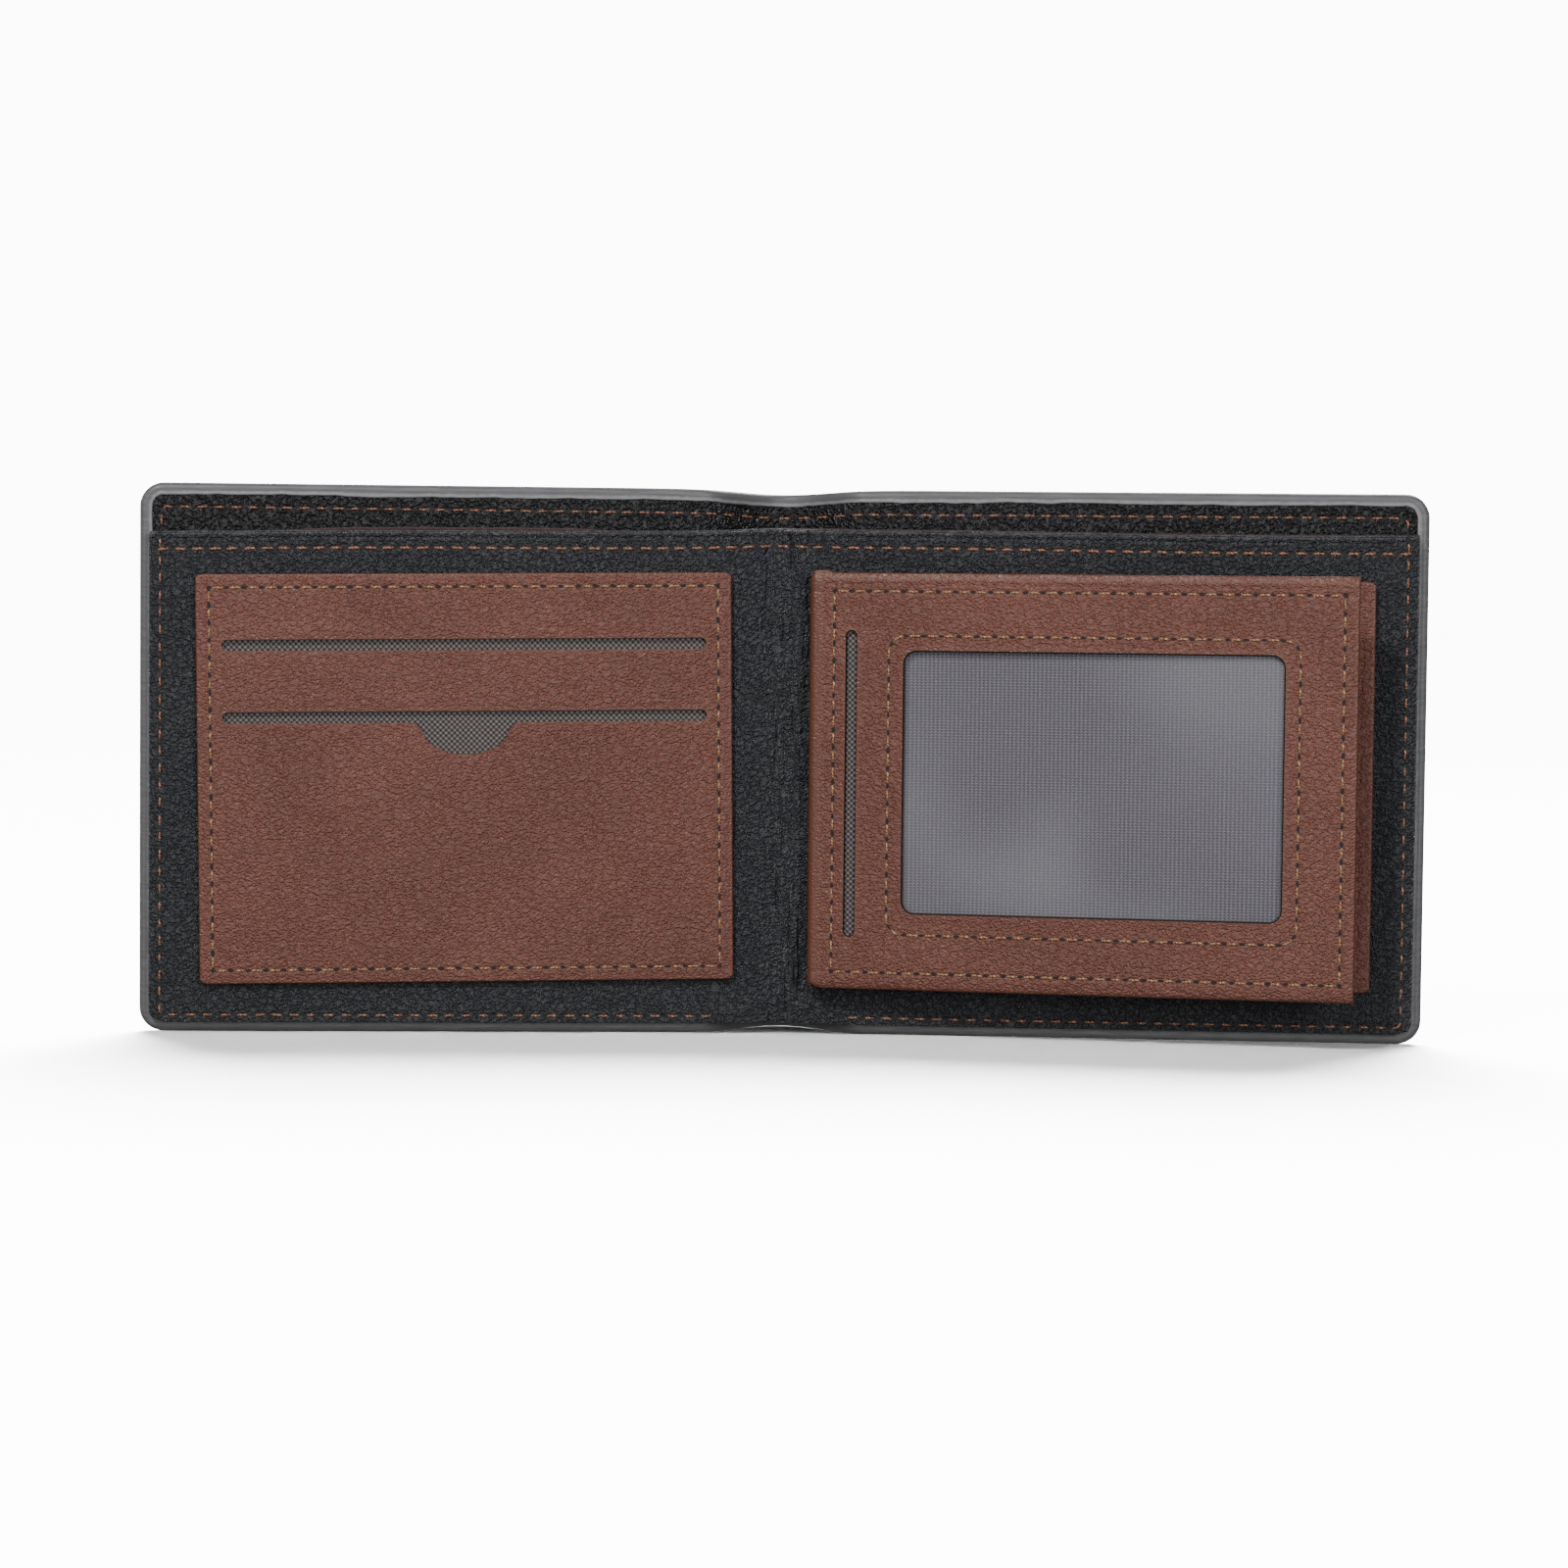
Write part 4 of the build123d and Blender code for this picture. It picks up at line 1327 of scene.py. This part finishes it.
def flap_surface(along, up):
    """Front of the flap: turned edges at the top and bottom, grooves at its seams."""
    top, bottom = flap_top - up, up - flap_base
    side = flap_right - along
    level = flap_face
    level -= 0.55 * exp(-(max(top, 0) / 0.8) ** 2) + 0.40 * exp(-(max(bottom, 0) / 0.6) ** 2)
    level -= 0.30 * exp(-(max(side, 0) / 0.7) ** 2)
    level += seam_groove(top - flap_seam_drop, 0.10, 0.45)
    level += seam_groove(side - flap_seam_side, 0.10, 0.45)
    level += seam_groove(bottom - flap_seam_rise, 0.10, 0.45)
    level += seam_groove(along - flap_left - flap_seam_hinge, 0.10, 0.45)
    level -= 0.10 * bump_at(top, 2.2, 0.35) * smooth((along - flap_left) / 3)
    return level + 0.05 * ripple(along, up, 21, 7.7)


def flap_low_edge(along):
    """Bottom of the flap's leather, drawn up where it is rolled."""
    nearer = smooth((flap_left + 2.2 - along) / 3.2)
    return flap_base + 1.1 * nearer * nearer


def flap_high_edge(along):
    """Top of the flap's leather, a little proud where it is rolled."""
    proud = 0.40 * smooth((flap_left + 3.4 - along) / 1.2)
    return flap_top + proud + 0.08 * ripple(along, 0, 9, 2)


def flap_border(along, up):
    """Distance to the flap's cut outline, window or slit."""
    # The rolled hinge edge and a band beside it count as cut edge, so the brown leather's darker
    # edge colour lies over them as painted shade of the roll.
    best = min(up - flap_low_edge(along), 0.42 * (flap_high_edge(along) - up),
               flap_right - along, 0.6 * max(along - flap_left - 0.4, 0.0))
    x = max(window[0] - along, along - window[2])
    y = max(window[1] - up, up - window[3])
    best = min(best, max(max(x, y), 0.0))
    over = max(abs(up - slit_middle) - (slit_long - slit_wide) / 2, 0.0)
    return min(best, max(hypot(along - slit_along, over) - slit_wide / 2, 0.0))


def build_flap_front():
    """Front leather with its window and slit, rolled over at the hinge."""
    columns = spread(flap_left - roll_long, flap_right, 2.5,
                     [(flap_left - 1.0, 3.0, 0.35), (flap_left + flap_seam_hinge, 0.9, 0.2),
                      (flap_right - flap_seam_side, 0.9, 0.2)])
    rows = even_rows(flap_tall, 2.5, [(flap_seam_rise, 0.9, 0.2), (flap_tall - 3.0, 1.6, 0.2)])
    mesh = ply_mesh(columns, rows, flap_low_edge, flap_high_edge, flap_surface,
                    lambda a, u: flap_face - flap_leather, 0.25)
    piece = as_object("flap_front", cut(mesh, [window_outline, slit_outline]), place_rolled,
                      brown_hide, flap_border)
    fasten([piece], "flap", "brown_leather", "flap_front_leather", "flap_hinge_roll")


def flat_ply(name, low, high, front, back, material, border=None):
    """A plain ply of the flap inside a frame node's box."""
    mesh = ply_mesh(spread(low[0], high[0], 3.0), even_rows(high[2] - low[2], 3.0),
                    lambda a: low[2], lambda a: high[2], front, back, 0.12)
    return as_object(name, mesh, place_flap, material, border)


build_flap_front()
back_ply = flat_ply("flap_back", back_low, back_high,
                    lambda a, u: back_high[1] - 0.02,
                    lambda a, u: back_low[1] + 0.04 * ripple(a, u, 18, 5.5), brown_hide,
                    lambda a, u: min(u - back_low[2], back_high[2] - u, back_high[0] - a))
fasten([back_ply], "flap", "brown_leather", "flap_back_leather")

ribs = flat_ply("window_backing_mesh", ribs_low, ribs_high,
                lambda a, u: ribs_high[1] + 0.05 * ripple(a, u, 12, 1.1),
                lambda a, u: ribs_low[1] + 0.02 + 0.05 * ripple(a, u, 12, 1.1), window_mesh)
fasten([ribs], "flap", "pocket_mesh", "flap_pocket_mesh")

film_ply = flat_ply("window_vinyl", film_low, film_high,
                    lambda a, u: film_high[1] - 0.02,
                    lambda a, u: film_low[1] + 0.02 + 0.10 * ripple(a, u, 22, 6.1), vinyl)
fasten([film_ply], "flap", "window_film", "flap_window_film")


def build_binding_ring(name, outline, width, level):
    """A thin rounded edge strip that lines an opening."""
    mesh = bmesh.new()
    count = len(outline)
    middle = (sum(p[0] for p in outline) / count, sum(p[1] for p in outline) / count)
    loops = []
    for index, (x, y) in enumerate(outline):
        ahead, behind = outline[(index + 1) % count], outline[index - 1]
        dx, dy = ahead[0] - behind[0], ahead[1] - behind[1]
        length = hypot(dx, dy) or 1.0
        nx, ny = -dy / length, dx / length
        if (middle[0] - x) * nx + (middle[1] - y) * ny < 0:
            nx, ny = -nx, -ny
        loop = []
        for i in range(8):
            angle = 2 * pi * i / 8
            inward = width * (0.5 + 0.5 * cos(angle)) - 0.08
            loop.append(mesh.verts.new((x + nx * inward, level + 0.35 * sin(angle),
                                        y + ny * inward)))
        loops.append(loop)
    skin(mesh, loops)
    fasten([as_object(name, mesh, place_flap, binding)], "flap", "edge_paint")


build_binding_ring("window_binding", window_outline, 0.34, flap_face - 0.5)
build_binding_ring("slit_binding", slit_outline, 0.26, flap_face - 0.55)


def build_slit_backing():
    """Woven pocket mesh that shows through the upright slit."""
    low, high = slit_middle - slit_long / 2 - 3, slit_middle + slit_long / 2 + 3
    left, right = slit_along - 5.2, slit_along + 5.2
    mesh = ply_mesh(spread(left, right, 1.0), even_rows(high - low, 2.0),
                    lambda a: low, lambda a: high,
                    lambda a, u: flap_face - 0.93 + 0.03 * ripple(a, u, 6, 2.0),
                    lambda a, u: flap_face - 1.10, 0.05)
    piece = as_object("slit_pocket_mesh", mesh, place_flap, slot_mesh)
    fasten([piece], "flap", "pocket_mesh")


build_slit_backing()

seam_left, seam_right = flap_left + flap_seam_hinge, flap_right - flap_seam_side
seam_low, seam_high = flap_base + flap_seam_rise, flap_top - flap_seam_drop
around = [(seam_left, seam_low), (seam_right, seam_low), (seam_right, seam_high),
          (seam_left, seam_high)]
flap_sewn = sew("flap_stitches", straight_runs(around), flap_surface, place_flap, **gold_stitch)
fasten(flap_sewn, "flap", "gold_thread", "flap_thread")
ring = rounded_outline(window[0] - 2.7, window[1] - 3.9, window[2] + 2.7, window[3] + 2.7, 3.2)
window_sewn = sew("window_stitches", [(ring, True)], flap_surface, place_flap, **gold_stitch)
fasten(window_sewn, "flap", "gold_thread", "flap_window_thread")


# ---------------------------------------------------------------- frame nodes that stay
def dress(node, material):
    """Gives a frame node that stays its finish."""
    piece = frame["nodes"][node]
    piece.data.materials.clear()
    piece.data.materials.append(material)


def plain_leather(name, base, light, dark, pebble):
    """Grain for frame nodes, which have no flat layout of their own."""
    finish = Finish(name, 0.5)
    tree = finish.tree
    place_in = tree.nodes.new("ShaderNodeTexCoord")
    scaled = tree.nodes.new("ShaderNodeVectorMath")
    scaled.operation = "SCALE"
    scaled.inputs["Scale"].default_value = 1 / MM
    feed(tree, scaled.inputs[0], place_in.outputs["Object"])
    grain = finish.group(grain_group, Layout=scaled.outputs[0], Pebble=pebble)
    colour = mix(tree, grain["Drift"], base, light)
    colour = mix(tree, grain["Pores"], colour, dark)
    finish.set(Base_Color=colour, Roughness=remap(tree, grain["Height"], 0.2, 1.3, 0.6, 0.42))
    finish.bump(grain["Height"], 0.08)
    return finish.material


edge_hide = plain_leather("brown_cut_edge", (0.11, 0.040, 0.024, 1), (0.15, 0.055, 0.034, 1),
                          (0.05, 0.018, 0.012, 1), 2.5)
tape_hide = plain_leather("seam_tape_cloth", (0.030, 0.014, 0.013, 1), (0.05, 0.022, 0.021, 1),
                          (0.01, 0.005, 0.005, 1), 3.0)
dress("flap_edge_strips", edge_hide)
for side in ("left", "right"):
    dress(f"seam_tape_{side}", tape_hide)


# ---------------------------------------------------------------- hinge strip
def build_hinge_strip():
    """The strip that carries the leaf, divided finely into columns."""
    mesh = bmesh.new()
    mesh.from_mesh(frame["nodes"]["flap_hinge_tab"].data)
    places = [vert.co.x for vert in mesh.verts]
    for along in steps(min(places), max(places), strip_division * MM)[1:-1]:
        bmesh.ops.bisect_plane(mesh, geom=mesh.verts[:] + mesh.edges[:] + mesh.faces[:],
                               plane_co=(along, 0, 0), plane_no=(1, 0, 0), dist=1e-6)
    for face in mesh.faces:
        face.smooth = True
    strip = mesh_object("flap_hinge_strip", mesh, edge_hide)
    strip.data.set_sharp_from_angle(angle=sharp_edge)
    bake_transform(strip)
    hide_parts("flap_hinge_tab")


build_hinge_strip()


# ---------------------------------------------------------------- floor, light and camera
def build_floor():
    """A plain pale table."""
    mesh = bmesh.new()
    bmesh.ops.create_grid(mesh, x_segments=8, y_segments=8, size=30.0)
    table = mesh_object("table", mesh)
    table.visible_diffuse = False
    table.visible_glossy = False
    finish = bpy.data.materials.new("white_table")
    finish.use_nodes = True
    tree = finish.node_tree
    shader = tree.nodes["Principled BSDF"]
    shader.inputs["Specular IOR Level"].default_value = 0.0
    where = tree.nodes.new("ShaderNodeTexCoord")
    blotch = noise_node(tree, where.outputs["Object"], 60.0, 5.0, 0.6)
    feed(tree, shader.inputs["Base Color"],
         mix(tree, blotch, (0.915, 0.92, 0.935, 1), (0.945, 0.945, 0.95, 1)))
    feed(tree, shader.inputs["Roughness"], remap(tree, blotch, 0.3, 0.7, 0.5, 0.6))
    table.data.materials.append(finish)
    return table


def aimed_lamp(name, kind, power, direction):
    """A lamp of some kind that shines this way."""
    data = bpy.data.lights.new(name, kind)
    data.energy = power
    lamp = add_object(name, data)
    lamp.rotation_euler = direction.to_track_quat("-Z", "Y").to_euler()
    return lamp


def add_light(name, place, target, size, power):
    """A soft box pointed at the wallet."""
    lamp = aimed_lamp(name, "AREA", power, Vector(target) - Vector(place))
    lamp.data.shape = "RECTANGLE"
    lamp.data.size, lamp.data.size_y = size
    lamp.location = place
    return lamp


def light_table(table, strength):
    """A broad overhead light for the table alone, so that the leather isn't bleached by it."""
    lamp = aimed_lamp("table_light", "SUN", strength, Vector((0, -0.8, -1)))
    lamp.data.angle = radians(45)
    lamp.data.color = (1.0, 0.995, 0.985)
    only_table = bpy.data.collections.new("table_only")
    only_table.objects.link(table)
    lamp.light_linking.receiver_collection = only_table


def build_studio_air(soft, backdrop):
    """Soft white light from all round, in front of a bright white backdrop."""
    world = bpy.data.worlds.new("studio")
    bpy.context.scene.world = world
    world.use_nodes = True
    tree = world.node_tree
    seen = tree.nodes.new("ShaderNodeLightPath").outputs["Is Camera Ray"]
    background = tree.nodes["Background"]
    background.inputs["Color"].default_value = (1, 1, 1, 1)
    feed(tree, background.inputs["Strength"],
         maths(tree, "MULTIPLY_ADD", seen, backdrop - soft, soft))


light_table(build_floor(), 50.0)
build_studio_air(0.16, 11.8)
add_light("key_softbox", (-0.30, -0.70, 0.75), (0, 0, 0.05), (0.12, 0.12), 6.8)
add_light("side_softbox", (0.40, -0.70, 0.30), (0, 0, 0.05), (0.25, 0.40), 2.5)
add_light("table_bounce", (0, -0.42, 0.01), (0, 0, 0.06), (0.7, 0.25), 0.6).visible_camera = False
add_light("back_softbox", (0.2, 0.8, 0.8), (0, 0, 0.05), (0.5, 0.5), 10.0)

camera_data = bpy.data.cameras.new("camera")
camera_data.sensor_width = 36.0
camera_data.lens = 85.57
camera_data.dof.use_dof = False
camera_data.clip_start = 0.01
camera = add_object("camera", camera_data)
camera.matrix_world = (
    Matrix.Translation(Vector((0.05485, -0.69932, 0.08249)))
    @ Matrix.Rotation(0.0779, 4, "Z")
    @ Matrix.Rotation(pi / 2 - 0.0498, 4, "X")
    @ Matrix.Rotation(0.0100, 4, "Z")
)
bpy.context.scene.camera = camera
